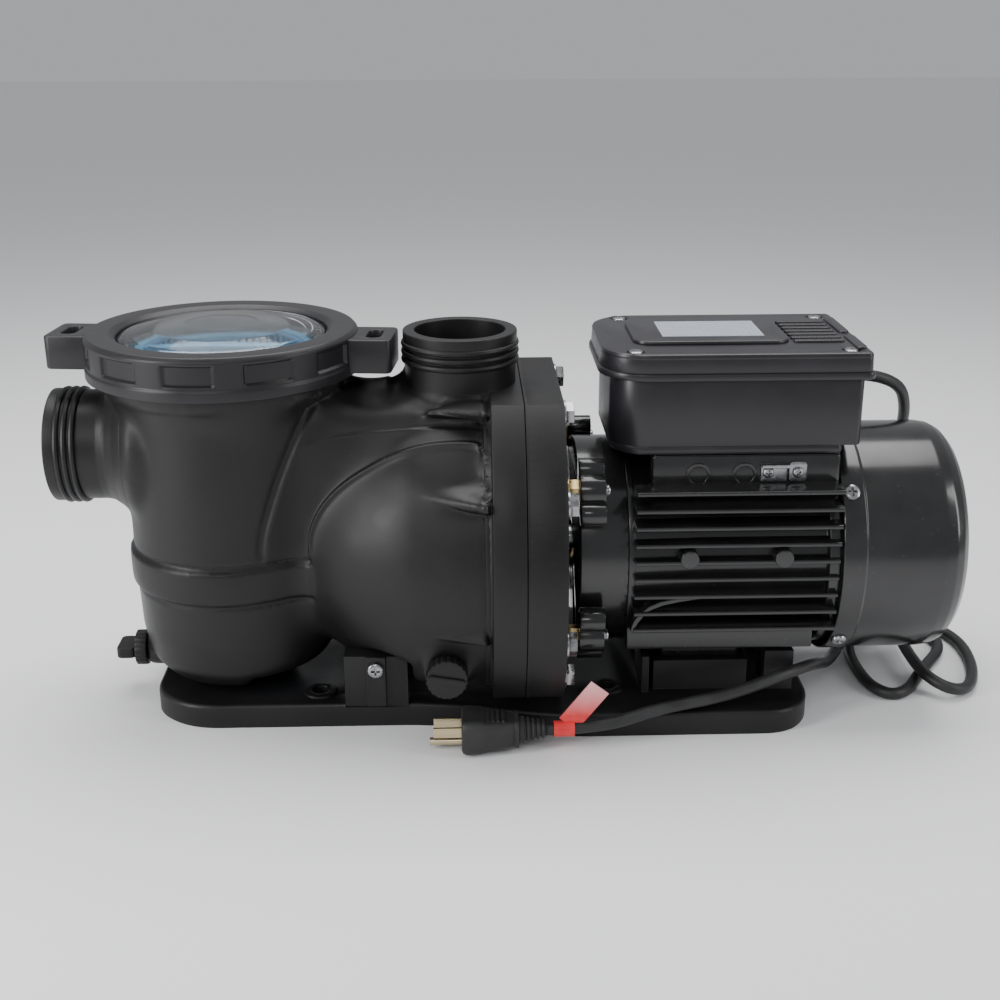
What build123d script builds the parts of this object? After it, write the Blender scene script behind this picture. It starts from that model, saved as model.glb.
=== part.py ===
from build123d import *
import math
import os

os.makedirs("parts", exist_ok=True)

# ---------------------------------------------------------------- main sizes, millimetres
# Origin: floor level, on the outlet axis, in the middle of the four base bolts.
# +X runs along the shaft from the strainer to the motor, +Z is up, -Y is the front.
SHAFT_Z = 105.0            # shaft height above the floor
PORT_TOP = 248.0           # outlet rim height
PORT_BORE = 29.0           # 2 inch pipe socket bore, radius
PORT_THROAT = 27.0         # water way past the pipe stop, radius
OUTLET_STOP = 190.0        # height of the outlet's pipe stop
INLET_STOP = -214.0        # the inlet's pipe stop
PORT_TUBE = 35.5           # plain tube radius
PORT_RIM = 36.5
PORT_CREST = 38.0          # union thread crest radius
THREAD_PITCH = 5.0
INLET_Z = 174.0            # inlet axis height
INLET_END = -262.0         # inlet rim
POT_X = -150.5             # strainer axis
POT_R = 66.5
POT_TOP = 232.0
RING_R = 85.5              # lock ring
RING_TURN = -5.5           # how far the lock ring is turned, degrees
EAR_REACH = 110.0
FLANGE_X0 = 18.0           # pump body flange
FLANGE_X1 = 39.0
PLATE_X1 = 63.0            # back of the seal plate
HALF_W = 114.0             # half width of the flange
FLANGE_UP = 109.0          # flange flat top above the shaft
FLANGE_DOWN = 76.0         # flange flat bottom below the shaft
TOP_HALF = 60.0            # half width of the flat top
CHAMBER_R = 64.0           # impeller chamber
BOLT_R = 4.0               # M8
BRACKET_X0 = 73.0
BRACKET_X1 = 104.0
BRACKET_R = 68.5
STUD_R = 79.0              # radius of the four motor studs
STUD_ANGLES = (48.0, 122.0, 238.0, 312.0)
MOTOR_X1 = 237.0
MOTOR_R = 66.0
MOTOR_BORE = 62.05
FIN_REACH = 75.0
COVER_R = 77.0             # fan cover
COVER_X1 = 322.0
BASE_TOP = 16.0
BASE_X0 = -204.0
BASE_X1 = 226.0
BASE_HALF_POT = 66.0
BASE_HALF_MOTOR = 85.0
BASE_HOLE_X = 94.5
BASE_HOLE_Y = 47.0
BASE_HOLE_R = 5.5
BOX_X0 = 93.0              # terminal box
BOX_X1 = 247.5
BOX_HALF = 55.5
BOX_Z0 = 179.0
BOX_Z1 = 228.0
LID_TOP = 243.5
SCREW_X = (107.0, 239.0)
SCREW_Y = 47.2
CORD_R = 4.0
GLAND = (247.5, 40.0, 205.0)
HANK = (269.0, 365.0, -50.0, 74.0, 18.0)     # x0, x1, y0, y1, height
FRONT_DRAIN = (-10.5, -95.0, 52.0)
LEFT_DRAIN = (-215.0, 0.0, 28.0)

SHAFT = Axis((0, 0, SHAFT_Z), (1, 0, 0))
POT_AXIS = Axis((POT_X, 0, 0), (0, 0, 1))

# the eight flange bolts: across and up from the shaft
COVER_BOLTS = [(s * y, z) for s in (-1, 1) for y, z in
               ((46, 99), (92, 56), (96, -34), (78, -64))]


# ---------------------------------------------------------------- helpers
def turned_x(points):
    """A turned piece about the shaft; points are (x, radius)."""
    with BuildPart() as piece:
        with BuildSketch(Plane.XZ):
            with BuildLine():
                Polyline(*[(x, SHAFT_Z + r) for x, r in points], close=True)
            make_face()
        revolve(axis=SHAFT)
    return piece.part


def turned_z(points, x=POT_X):
    """A turned piece about an upright axis at x; points are (radius, z)."""
    with BuildPart() as piece:
        with BuildSketch(Plane.XZ):
            with BuildLine():
                Polyline(*[(x + r, z) for r, z in points], close=True)
            make_face()
        revolve(axis=Axis((x, 0, 0), (0, 0, 1)))
    return piece.part


def rod_x(r, x0, x1, y=0.0, z=SHAFT_Z, mode=Mode.ADD):
    """A cylinder along X."""
    with Locations((x0, y, z)):
        Cylinder(r, x1 - x0, rotation=(0, 90, 0), mode=mode,
                 align=(Align.CENTER, Align.CENTER, Align.MIN))


def rod_y(r, y0, y1, x, z, mode=Mode.ADD):
    """A cylinder along Y."""
    with Locations((x, (y0 + y1) / 2, z)):
        Cylinder(r, abs(y1 - y0), rotation=(90, 0, 0), mode=mode)


def rod_z(r, z0, z1, x, y, mode=Mode.ADD):
    """An upright cylinder."""
    with Locations((x, y, (z0 + z1) / 2)):
        Cylinder(r, z1 - z0, mode=mode)


def block(x0, x1, y0, y1, z0, z1, mode=Mode.ADD):
    """A box from its six faces."""
    with Locations(((x0 + x1) / 2, (y0 + y1) / 2, (z0 + z1) / 2)):
        Box(x1 - x0, y1 - y0, z1 - z0, mode=mode)


def ring_x(r_out, r_in, x0, x1, y=0.0, z=SHAFT_Z):
    """A tube along X."""
    rod_x(r_out, x0, x1, y, z)
    rod_x(r_in, x0 - 1, x1 + 1, y, z, mode=Mode.SUBTRACT)


def flange_face(x, inset):
    """The pump flange outline, drawn in from its edge, at x."""
    w = HALF_W - inset
    t = FLANGE_UP - inset
    c = TOP_HALF - inset / 2
    b = FLANGE_DOWN - inset / 3
    rho = (t * t + (w - c) ** 2) / (2 * (w - c))
    up = math.asin(t / rho) / 2
    low = math.asin(b / w) / 2
    foot = math.sqrt(w * w - b * b)
    with BuildSketch(Plane((x, 0, SHAFT_Z), x_dir=(0, 1, 0), z_dir=(1, 0, 0))) as face:
        with BuildLine():
            Line((-c, t), (c, t))
            for s in (-1, 1):
                ThreePointArc((s * c, t), (s * (w - rho + rho * math.cos(up)), rho * math.sin(up)),
                              (s * w, 0))
                ThreePointArc((s * w, 0), (s * w * math.cos(low), -w * math.sin(low)),
                              (s * foot, -b))
            Line((-foot, -b), (foot, -b))
        make_face()
    return face.sketch


def stud_places():
    """Across and up from the shaft, for the four motor studs."""
    for a in STUD_ANGLES:
        yield (-STUD_R * math.sin(math.radians(a)), STUD_R * math.cos(math.radians(a)))


def save(piece, name):
    """Label a finished piece and write its file."""
    piece.label = name
    export_step(piece, f"parts/{name}.step")


# ---------------------------------------------------------------- base
def base_outline(inset=0.0):
    """Plan of the base: narrow under the strainer, wider under the motor."""
    a, b = BASE_HALF_POT - inset, BASE_HALF_MOTOR - inset
    x0, x1 = BASE_X0 + inset, BASE_X1 - inset
    with BuildSketch(Plane.XY) as plan:
        with BuildLine():
            Line((x0, -26), (x0, 26))
            Line((x1, -46), (x1, 46))
            for s in (-1, 1):
                Spline((x0, s * 26), (x0 + 13, s * (a - 12)), (x0 + 46, s * a),
                       tangents=((0, s), (1, 0)))
                Line((x0 + 46, s * a), (-46, s * a))
                Spline((-46, s * a), (2, s * (a + 5)), (60, s * (b - 1.5)), (92, s * b),
                       tangents=((1, 0), (1, 0)))
                Line((92, s * b), (x1 - 34, s * b))
                Spline((x1 - 34, s * b), (x1 - 9, s * (b - 11)), (x1, s * 46),
                       tangents=((1, 0), (0, -s)))
        make_face()
    return plan.sketch


with BuildPart() as base_plate:
    extrude(base_outline(), amount=BASE_TOP)
    fillet(base_plate.faces().sort_by(Axis.Z)[-1].edges(), 3)
    # open underside with a wall all round
    extrude(base_outline(inset=6), amount=12, mode=Mode.SUBTRACT)
    # ribs under the deck
    block(BASE_X0 + 4, BASE_X1 - 4, -3, 3, 0, 13)
    for x in (-150, -60, 0, 60, 150):
        block(x - 2, x + 2, -BASE_HALF_POT + 3, BASE_HALF_POT - 3, 2, 13)
    # posts either side of the pump foot
    for s in (-1, 1):
        block(-77, -36, min(s * 51, s * 66), max(s * 51, s * 66), 14, 50)
        block(-63, -50, min(s * 66, s * 68), max(s * 66, s * 68), 15, 50)
        rod_y(3.0, s * 40, s * 75, -56.5, 41.5, mode=Mode.SUBTRACT)
    # motor pedestal, hollow from below, and its two end blocks
    block(124, 186, -52, 52, 14, 37)
    block(129, 181, -47, 47, 0, 33, mode=Mode.SUBTRACT)
    block(197, 216, -54, -28, 14, 44)
    block(197, 216, 28, 54, 14, 44)
    for s in (-1, 1):
        block(116, 121, min(s * 20, s * 56), max(s * 20, s * 56), 14, 42)
        rod_z(3.1, 20, 40, 155, s * 30, mode=Mode.SUBTRACT)
    # bolt holes in raised bosses
    for x in (-BASE_HOLE_X, BASE_HOLE_X):
        for y in (-BASE_HOLE_Y, BASE_HOLE_Y):
            rod_z(11, 0, BASE_TOP + 1.5, x, y)
            rod_z(BASE_HOLE_R, -1, BASE_TOP + 4, x, y, mode=Mode.SUBTRACT)
save(base_plate.part, "base_plate")

# ---------------------------------------------------------------- pump body
with BuildPart() as pump_body:
    # strainer pot, with the lock ring thread at its mouth
    add(turned_z([(0, 18), (36, 18), (52, 23), (61, 34), (65, 54), (66, 84), (68, 88),
                  (68, 108), (POT_R, 113), (POT_R, 200), (71, 212), (76, 215),
                  (76, POT_TOP), (0, POT_TOP)]))
    rod_z(30, BASE_TOP, 19, POT_X, 0)
    # volute: a dome growing from the pot to the flange
    with BuildSketch(Plane.XZ):
        with BuildLine():
            Spline((-122, SHAFT_Z + 0.5), (-104, SHAFT_Z + 44), (-76, SHAFT_Z + 74),
                   (-36, SHAFT_Z + 96), (FLANGE_X0, SHAFT_Z + 104))
            Polyline((FLANGE_X0, SHAFT_Z + 104), (FLANGE_X0, SHAFT_Z), (-122, SHAFT_Z),
                     (-122, SHAFT_Z + 0.5))
        make_face()
    revolve(axis=SHAFT)
    # shoulder that carries the outlet
    with BuildSketch(Plane.YZ.offset(-118)):
        with Locations((0, 162)):
            RectangleRounded(92, 94, 22)
    extrude(amount=118 + FLANGE_X0)
    block(-80, -33, -4, 4, 200, 221)
    # flat underside, clear of the base
    block(-140, FLANGE_X0, -130, 130, -20, 29.5, mode=Mode.SUBTRACT)
    rod_z(36, BASE_TOP, 40, POT_X, 0)
    # flange with its stepped neck
    extrude(flange_face(FLANGE_X0 - 4, 9), amount=6)
    extrude(flange_face(FLANGE_X0, 0), amount=FLANGE_X1 - FLANGE_X0)
    # leaf gussets running into the flange
    for s in (-1, 1):
        for y, z in ((66, 101), (102, 58), (104, -22)):
            with BuildSketch(Plane.XY.offset(SHAFT_Z + z - 3)):
                Polygon((-26, s * (y - 22)), (FLANGE_X0 + 1, s * (y - 30)),
                        (FLANGE_X0 + 1, s * y), align=None)
            extrude(amount=6)
    # outlet
    add(turned_z([(0, 196), (PORT_TUBE + 3, 200), (PORT_TUBE + 1, 210), (PORT_TUBE, 214),
                  (PORT_TUBE, 241), (PORT_RIM, 241.5), (PORT_RIM, PORT_TOP),
                  (0, PORT_TOP)], x=0))
    for k in range(3):
        z = PORT_TOP - 8.4 - k * THREAD_PITCH
        add(turned_z([(30, z - 2), (PORT_TUBE, z - 2), (PORT_CREST, z - 0.6),
                      (PORT_CREST, z + 0.6), (PORT_TUBE, z + 2), (30, z + 2)], x=0))
    # inlet, with a flared root on the pot
    with Locations((0, 0, INLET_Z - SHAFT_Z)):
        add(turned_x([(INLET_END, 0), (INLET_END, PORT_RIM), (INLET_END + 6.5, PORT_RIM),
                      (INLET_END + 7, PORT_TUBE), (-226, PORT_TUBE), (-218, 40), (-206, 52),
                      (-190, 52), (-190, 0)]))
        for k in range(3):
            x = INLET_END + 8.4 + k * THREAD_PITCH
            add(turned_x([(x - 2, 30), (x - 2, PORT_TUBE), (x - 0.6, PORT_CREST),
                          (x + 0.6, PORT_CREST), (x + 2, PORT_TUBE), (x + 2, 30)]))
    # clearance for the base posts
    for s in (-1, 1):
        block(-80, -33, min(s * 50.6, s * 90), max(s * 50.6, s * 90), 10, 52,
              mode=Mode.SUBTRACT)
    # drain bosses and the foot
    rod_y(16, -50, FRONT_DRAIN[1], FRONT_DRAIN[0], FRONT_DRAIN[2])
    rod_x(12, LEFT_DRAIN[0], -190, 0, LEFT_DRAIN[2])
    block(-70, -43, -50.7, 50.7, BASE_TOP + 1, 66)
    # hollows: strainer pot, inlet, eye passage, chamber, outlet
    add(turned_z([(0, 24), (34, 24), (48, 29), (57, 40), (60, 60), (61, 84), (61, 205),
                  (58.5, 210), (58.5, 224), (62, 224), (62, 240), (0, 240)]),
        mode=Mode.SUBTRACT)
    rod_x(PORT_BORE, INLET_END - 1, INLET_STOP, 0, INLET_Z, mode=Mode.SUBTRACT)
    rod_x(PORT_THROAT, INLET_STOP - 1, -190, 0, INLET_Z, mode=Mode.SUBTRACT)
    rod_x(24, -110, -36, mode=Mode.SUBTRACT)
    rod_x(CHAMBER_R, -37, FLANGE_X1 + 1, mode=Mode.SUBTRACT)
    rod_z(PORT_BORE, OUTLET_STOP, PORT_TOP + 1, 0, 0, mode=Mode.SUBTRACT)
    rod_z(PORT_THROAT, SHAFT_Z + 40, OUTLET_STOP + 1, 0, 0, mode=Mode.SUBTRACT)
    # seat for the lid ring
    add(turned_z([(69, 228.9), (73, 228.9), (73, 240), (69, 240)]), mode=Mode.SUBTRACT)
    # screw and bolt holes
    for y, z in COVER_BOLTS:
        rod_x(BOLT_R + 0.1, FLANGE_X0 + 2, FLANGE_X1 + 1, y, SHAFT_Z + z, mode=Mode.SUBTRACT)
    for s in (-1, 1):
        rod_y(2.6, s * 30, s * 52, -56.5, 41.5, mode=Mode.SUBTRACT)
    rod_y(6.0, -100, -20, FRONT_DRAIN[0], FRONT_DRAIN[2], mode=Mode.SUBTRACT)
    rod_y(7.3, -100, -74, FRONT_DRAIN[0], FRONT_DRAIN[2], mode=Mode.SUBTRACT)
    rod_y(10.4, -100, -91.6, FRONT_DRAIN[0], FRONT_DRAIN[2], mode=Mode.SUBTRACT)
    rod_x(4.5, -230, -180, 0, LEFT_DRAIN[2], mode=Mode.SUBTRACT)
    rod_x(5.9, -230, -199, 0, LEFT_DRAIN[2], mode=Mode.SUBTRACT)
    rod_x(8.6, -230, -212, 0, LEFT_DRAIN[2], mode=Mode.SUBTRACT)
save(pump_body.part, "pump_body")

# ---------------------------------------------------------------- lid, ring and basket
with BuildPart() as lock_ring:
    add(turned_z([(66, 243.5), (78.5, 243.5), (78.5, 224), (86.3, 224), (86.3, 229.5),
                  (RING_R, 231), (RING_R, 248), (83.5, 250.5), (69, 250.5), (66, 248.5)]))
    # ten shallow grip panels
    for half in (0, 180):
        for k in range(5):
            a = RING_TURN + half + 24.6 + k * 32.7
            with Locations(Location((POT_X, 0, 239.5), (0, 0, a))):
                with Locations((RING_R + 1.2, 0, 0)):
                    Box(6, 30, 13.5, mode=Mode.SUBTRACT)
    # two ears with a slot for a tool
    for half in (0, 180):
        with BuildSketch(Plane.XY.offset(226)):
            with Locations(Location((POT_X, 0, 0), (0, 0, RING_TURN + half))):
                with Locations(((80 + EAR_REACH) / 2, 0)):
                    RectangleRounded(EAR_REACH - 80, 39, 5)
        extrude(amount=21.5)
        with BuildSketch(Plane.XY.offset(220)):
            with Locations(Location((POT_X, 0, 0), (0, 0, RING_TURN + half + 90))):
                with Locations((0, -97.5)):
                    SlotOverall(22, 9)
        extrude(amount=40, mode=Mode.SUBTRACT)
    rod_z(78.5, 220, 243.5, POT_X, 0, mode=Mode.SUBTRACT)
    # bayonet lugs
    for k in range(4):
        with Locations(Location((POT_X, 0, 227), (0, 0, 45 + 90 * k))):
            with Locations((78.2, 0, 0)):
                Box(2.4, 26, 4)
    rod_z(66, 240, 252, POT_X, 0, mode=Mode.SUBTRACT)
save(lock_ring.part, "lock_ring")

with BuildPart() as clear_lid:
    add(turned_z([(0, 250), (20, 249.4), (40, 246.6), (56, 241), (60, 236), (60, 232.3),
                  (77.5, 232.3), (77.5, 243.2), (64.5, 243.2), (58, 247), (42, 250.8),
                  (22, 253.4), (0, 254.2)]))
save(clear_lid.part, "clear_lid")

with BuildPart() as lid_o_ring:
    with BuildSketch(Plane.XZ):
        with Locations((POT_X + 71, 230.75)):
            Circle(1.5)
    revolve(axis=POT_AXIS)
save(lid_o_ring.part, "lid_o_ring")

with BuildPart() as basket:
    add(turned_z([(0, 33), (50, 33), (54, 37), (57, 224.3), (61.5, 224.3), (61.5, 231),
                  (55, 231), (54.2, 222), (51.5, 39), (49, 36), (0, 36)]))
    # bridge handle
    block(POT_X - 56, POT_X + 56, -5, 5, 219, 228)
    # rows of slots, left out beside the inlet window
    for row in range(5):
        for k in range(20):
            a = 18 * k + 9
            if row < 3 or abs(a - 180) > 40:
                with Locations(Location((POT_X, 0, 56 + 34 * row), (0, 0, a))):
                    with Locations((54, 0, 0)):
                        Box(14, 6, 26, mode=Mode.SUBTRACT)
    rod_x(28, POT_X - 70, POT_X - 20, 0, INLET_Z, mode=Mode.SUBTRACT)
save(basket.part, "basket")

# ---------------------------------------------------------------- drain plugs
with BuildPart() as front_drain_plug:
    x, y, z = FRONT_DRAIN
    rod_y(13, y - 10.5, y - 0.3, x, z)
    rod_y(6.9, y - 1, y + 18, x, z)
    # coin bar across the knob
    with Locations(Location((x, y - 11, z), (0, 10, 0))):
        Box(24, 3, 5)
save(front_drain_plug.part, "front_drain_plug")

with BuildPart() as front_drain_o_ring:
    x, y, z = FRONT_DRAIN
    with BuildSketch(Plane.XY.offset(z)):
        with Locations((x + 8.6, y + 1.7)):
            Circle(1.4)
    revolve(axis=Axis((x, 0, z), (0, 1, 0)))
save(front_drain_o_ring.part, "front_drain_o_ring")

with BuildPart() as left_drain_plug:
    x, y, z = LEFT_DRAIN
    rod_x(12, x - 8.5, x - 0.3, y, z)
    rod_x(5.6, x - 1, x + 14, y, z)
    block(x - 21, x - 8, -11, 11, z - 4, z + 4)
save(left_drain_plug.part, "left_drain_plug")

with BuildPart() as left_drain_o_ring:
    x, y, z = LEFT_DRAIN
    with BuildSketch(Plane.XZ):
        with Locations((x + 1.5, z + 7.1)):
            Circle(1.2)
    revolve(axis=Axis((0, 0, z), (1, 0, 0)))
save(left_drain_o_ring.part, "left_drain_o_ring")

with BuildPart() as foot_screws:
    for s in (-1, 1):
        rod_y(5.2, s * 68, s * 71, -56.5, 41.5)
        rod_y(2.5, s * 40, s * 70, -56.5, 41.5)
        block(-57.2, -55.8, min(s * 70, s * 72), max(s * 70, s * 72), 39, 44, mode=Mode.SUBTRACT)
        block(-59, -54, min(s * 70, s * 72), max(s * 70, s * 72), 40.8, 42.2, mode=Mode.SUBTRACT)
save(foot_screws.part, "foot_screws")

# ---------------------------------------------------------------- wet end
with BuildPart() as diffuser:
    add(turned_x([(-62, 19), (-62, 23.9), (-36.5, 23.9), (-36.5, 56), (-31, 62), (8, 62),
                  (8, 59.5), (-28, 59.5), (-33, 54), (-33, 31), (-9, 31), (-9, 27.35),
                  (-34, 27.35), (-38, 19)]))
    # outer guide vanes
    for k in range(9):
        with Locations(Location((-9, 0, SHAFT_Z), (40 * k, 0, 0))):
            with Locations((0, 0, 62.5)):
                Box(34, 3, 2)
save(diffuser.part, "diffuser")

with BuildPart() as impeller:
    add(turned_x([(-20, 22), (-20, 27), (-3, 27), (0, 54), (3, 54), (0.5, 27), (-3, 22)]))
    add(turned_x([(13, 6.02), (13, 54), (17, 54), (17, 13), (34, 13), (34, 6.02)]))
    rod_x(13, 2.5, 14)
    rod_x(6.02, 0, 40, mode=Mode.SUBTRACT)
    # curved vanes between the shrouds
    for k in range(6):
        turn = math.radians(60 * k)
        across = (0, math.cos(turn), math.sin(turn))
        with BuildSketch(Plane((1.5, 0, SHAFT_Z), x_dir=across, z_dir=(1, 0, 0))):
            with BuildLine():
                a = ThreePointArc((19, 0), (38, 9), (49, 22))
                b = ThreePointArc((20, -3), (40, 6), (51, 20))
                Line(a @ 0, b @ 0)
                Line(a @ 1, b @ 1)
            make_face()
        extrude(amount=12)
save(impeller.part, "impeller")

with BuildPart() as impeller_screw:
    rod_x(8.5, -2.5, 2.45)
    rod_x(2.9, 2, 22)
save(impeller_screw.part, "impeller_screw")

with BuildPart() as seal_head:
    add(turned_x([(19, 13.02), (19, 17), (30, 17), (30, 18.6), (36, 18.6), (36, 14.5),
                  (31, 14.5), (31, 13.02)]))
save(seal_head.part, "seal_head")

with BuildPart() as seal_spring:
    for k in range(4):
        with BuildSketch(Plane.XZ):
            with Locations((20.6 + 2.5 * k, SHAFT_Z + 18.1)):
                Circle(0.9)
        revolve(axis=SHAFT)
    block(19.7, 29.0, -1, 1, SHAFT_Z + 17.4, SHAFT_Z + 18.8)
save(seal_spring.part, "seal_spring")

with BuildPart() as seal_seat:
    ring_x(19.5, 10.0, 36.06, 44)
save(seal_seat.part, "seal_seat")

with BuildPart() as seal_plate:
    extrude(flange_face(FLANGE_X1, 0), amount=PLATE_X1 - FLANGE_X1)
    # raised face behind the impeller, spigot into the chamber
    add(turned_x([(22, 22), (22, 52), (28, 63.5), (40, 63.5), (40, 22)]))
    # weight-saving pocket on the motor side
    add(turned_x([(50, 26), (50, 64), (70, 64), (70, 26)]), mode=Mode.SUBTRACT)
    for k in range(8):
        with Locations(Location((50, 0, SHAFT_Z), (45 * k, 0, 0))):
            with Locations((6.5, 0, 46)):
                Box(13, 4, 44)
    # seal housing and shaft hole
    rod_x(22, 20, 36.0, mode=Mode.SUBTRACT)
    rod_x(19.52, 30, 44.0, mode=Mode.SUBTRACT)
    rod_x(9.2, 40, 70, mode=Mode.SUBTRACT)
    # groove for the big ring
    add(turned_x([(38.9, 66), (38.9, 71), (42.2, 71), (42.2, 66)]),
        mode=Mode.SUBTRACT)
    # stud bosses reaching back to the motor bracket
    for y, z in stud_places():
        rod_x(10, 60, BRACKET_X0 - 8, y, SHAFT_Z + z)
        rod_x(4.05, 45, 80, y, SHAFT_Z + z, mode=Mode.SUBTRACT)
    for y, z in COVER_BOLTS:
        rod_x(BOLT_R + 0.1, 30, 70, y, SHAFT_Z + z, mode=Mode.SUBTRACT)
save(seal_plate.part, "seal_plate")

with BuildPart() as plate_o_ring:
    with BuildSketch(Plane.XZ):
        with Locations((40.6, SHAFT_Z + 68.5)):
            Circle(1.58)
    revolve(axis=SHAFT)
save(plate_o_ring.part, "plate_o_ring")

with BuildPart() as cover_bolts:
    for y, z in COVER_BOLTS:
        rod_x(BOLT_R, 21, 66, y, SHAFT_Z + z)
        with BuildSketch(Plane.YZ.offset(64.6)):
            with Locations((y, SHAFT_Z + z)):
                RegularPolygon(7.5, 6)
        extrude(amount=5.4)
save(cover_bolts.part, "cover_bolts")

with BuildPart() as cover_washers:
    for y, z in COVER_BOLTS:
        ring_x(8.6, BOLT_R + 0.1, PLATE_X1, 64.6, y, SHAFT_Z + z)
save(cover_washers.part, "cover_washers")

# ---------------------------------------------------------------- motor bracket
with BuildPart() as motor_bracket:
    add(turned_x([(BRACKET_X0, 27), (BRACKET_X0, BRACKET_R - 1), (BRACKET_X0 + 1, BRACKET_R),
                  (BRACKET_X1, BRACKET_R), (BRACKET_X1, 62), (BRACKET_X0 + 6, 62),
                  (BRACKET_X0 + 6, 27)]))
    add(turned_x([(BRACKET_X0, 11), (BRACKET_X0, 30), (93, 27), (93, 20.02), (80.5, 20.02),
                  (80.5, 14), (BRACKET_X0 + 3, 11)]))
    # fluted stud lugs
    with BuildSketch(Plane((BRACKET_X0, 0, SHAFT_Z), x_dir=(0, 1, 0), z_dir=(1, 0, 0))):
        for y, z in stud_places():
            with Locations((y, z)):
                Circle(10.5)
            with Locations((y * 0.87, z * 0.87)):
                Circle(14)
            for turn in (-11, 11):
                a = math.radians(turn)
                with Locations((y * math.cos(a) - z * math.sin(a),
                                z * math.cos(a) + y * math.sin(a))):
                    Circle(7.5)
    extrude(amount=16)
    rod_x(62, BRACKET_X0 + 6, BRACKET_X1 + 1, mode=Mode.SUBTRACT)
    add(turned_x([(BRACKET_X0, 11), (BRACKET_X0, 30), (93, 27), (93, 20.02), (80.5, 20.02),
                  (80.5, 14), (BRACKET_X0 + 3, 11)]))
    for y, z in stud_places():
        rod_x(4.05, 70, 95, y, SHAFT_Z + z, mode=Mode.SUBTRACT)
save(motor_bracket.part, "motor_bracket")

with BuildPart() as studs:
    for y, z in stud_places():
        rod_x(4.0, 46, 92, y, SHAFT_Z + z)
save(studs.part, "studs")

with BuildPart() as stud_nuts:
    for y, z in stud_places():
        ring_x(8.5, 4.02, 65.0, 66.4, y, SHAFT_Z + z)
        with BuildSketch(Plane.YZ.offset(66.4)):
            with Locations((y, SHAFT_Z + z)):
                RegularPolygon(7.5, 6)
                Circle(4.02, mode=Mode.SUBTRACT)
        extrude(amount=6.6)
save(stud_nuts.part, "stud_nuts")

# ---------------------------------------------------------------- shaft, rotor, bearings
with BuildPart() as shaft:
    add(turned_x([(2.5, 0), (2.5, 6), (34, 6), (34, 8), (80.6, 8), (80.6, 8.5), (92.6, 8.5),
                  (92.6, 14), (239, 14), (239, 10), (241, 10), (241, 7.5), (258, 7.5),
                  (258, 6), (291, 6), (292, 5), (292, 0)]))
    rod_x(2.92, 0, 23, mode=Mode.SUBTRACT)
    add(turned_x([(285.9, 5.2), (285.9, 7), (287.3, 7), (287.3, 5.2)]), mode=Mode.SUBTRACT)
save(shaft.part, "shaft")


def bearing(x0, width, bore, outer, pitch, ball, count):
    """Outer ring, inner ring, and balls in their cage, as three pieces."""
    mid = x0 + width / 2
    shoulder = ball * 0.8
    with BuildPart() as out_ring:
        ring_x(outer, pitch + shoulder, x0, x0 + width)
        with BuildSketch(Plane.XZ):
            with Locations((mid, SHAFT_Z + pitch)):
                Circle(ball + 0.05)
        revolve(axis=SHAFT, mode=Mode.SUBTRACT)
    with BuildPart() as in_ring:
        ring_x(pitch - shoulder, bore + 0.02, x0, x0 + width)
        with BuildSketch(Plane.XZ):
            with Locations((mid, SHAFT_Z + pitch)):
                Circle(ball + 0.05)
        revolve(axis=SHAFT, mode=Mode.SUBTRACT)
    with BuildPart() as balls:
        ring_x(pitch + 0.9, pitch - 0.9, mid - 1.6, mid + 1.6)
        for k in range(count):
            a = 2 * math.pi * k / count
            with Locations((mid, pitch * math.sin(a), SHAFT_Z + pitch * math.cos(a))):
                Sphere(ball)
    return out_ring.part, in_ring.part, balls.part


front_set = bearing(80.6, 12, 8.5, 20, 14.25, 3.37, 8)
save(front_set[0], "front_bearing_outer")
save(front_set[1], "front_bearing_inner")
save(front_set[2], "front_bearing_balls")
rear_set = bearing(241.0, 11, 7.5, 17.5, 12.5, 2.97, 8)
save(rear_set[0], "rear_bearing_outer")
save(rear_set[1], "rear_bearing_inner")
save(rear_set[2], "rear_bearing_balls")

with BuildPart() as rotor_core:
    ring_x(35.5, 14.02, 122, 206)
save(rotor_core.part, "rotor_core")

with BuildPart() as rotor_end_rings:
    for x0, x1, tip in ((114.9, 121.9, 110), (206.1, 213.1, 218)):
        ring_x(34.5, 22, x0, x1)
        for k in range(8):
            with Locations(Location((0, 0, SHAFT_Z), (45 * k, 0, 0))):
                block(min(x0, tip), max(x1, tip), -1.5, 1.5, 25, 33)
save(rotor_end_rings.part, "rotor_end_rings")

# ---------------------------------------------------------------- stator and housing
with BuildPart() as stator_core:
    ring_x(62.0, 36.0, 122, 206)
    for k in range(24):
        with Locations(Location((164, 0, SHAFT_Z), (15 * k, 0, 0))):
            with Locations((0, 0, 46)):
                Box(90, 5, 14, mode=Mode.SUBTRACT)
save(stator_core.part, "stator_core")

with BuildPart() as windings:
    for x0, x1 in ((107, 121.8), (206.2, 222)):
        with BuildSketch(Plane.XZ):
            with Locations(((x0 + x1) / 2, SHAFT_Z + 49)):
                RectangleRounded(x1 - x0, 17, 5)
        revolve(axis=SHAFT)
    for k in range(24):
        with Locations(Location((164, 0, SHAFT_Z), (15 * k, 0, 0))):
            with Locations((0, 0, 46)):
                Box(88, 4.4, 13)
save(windings.part, "windings")

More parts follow.
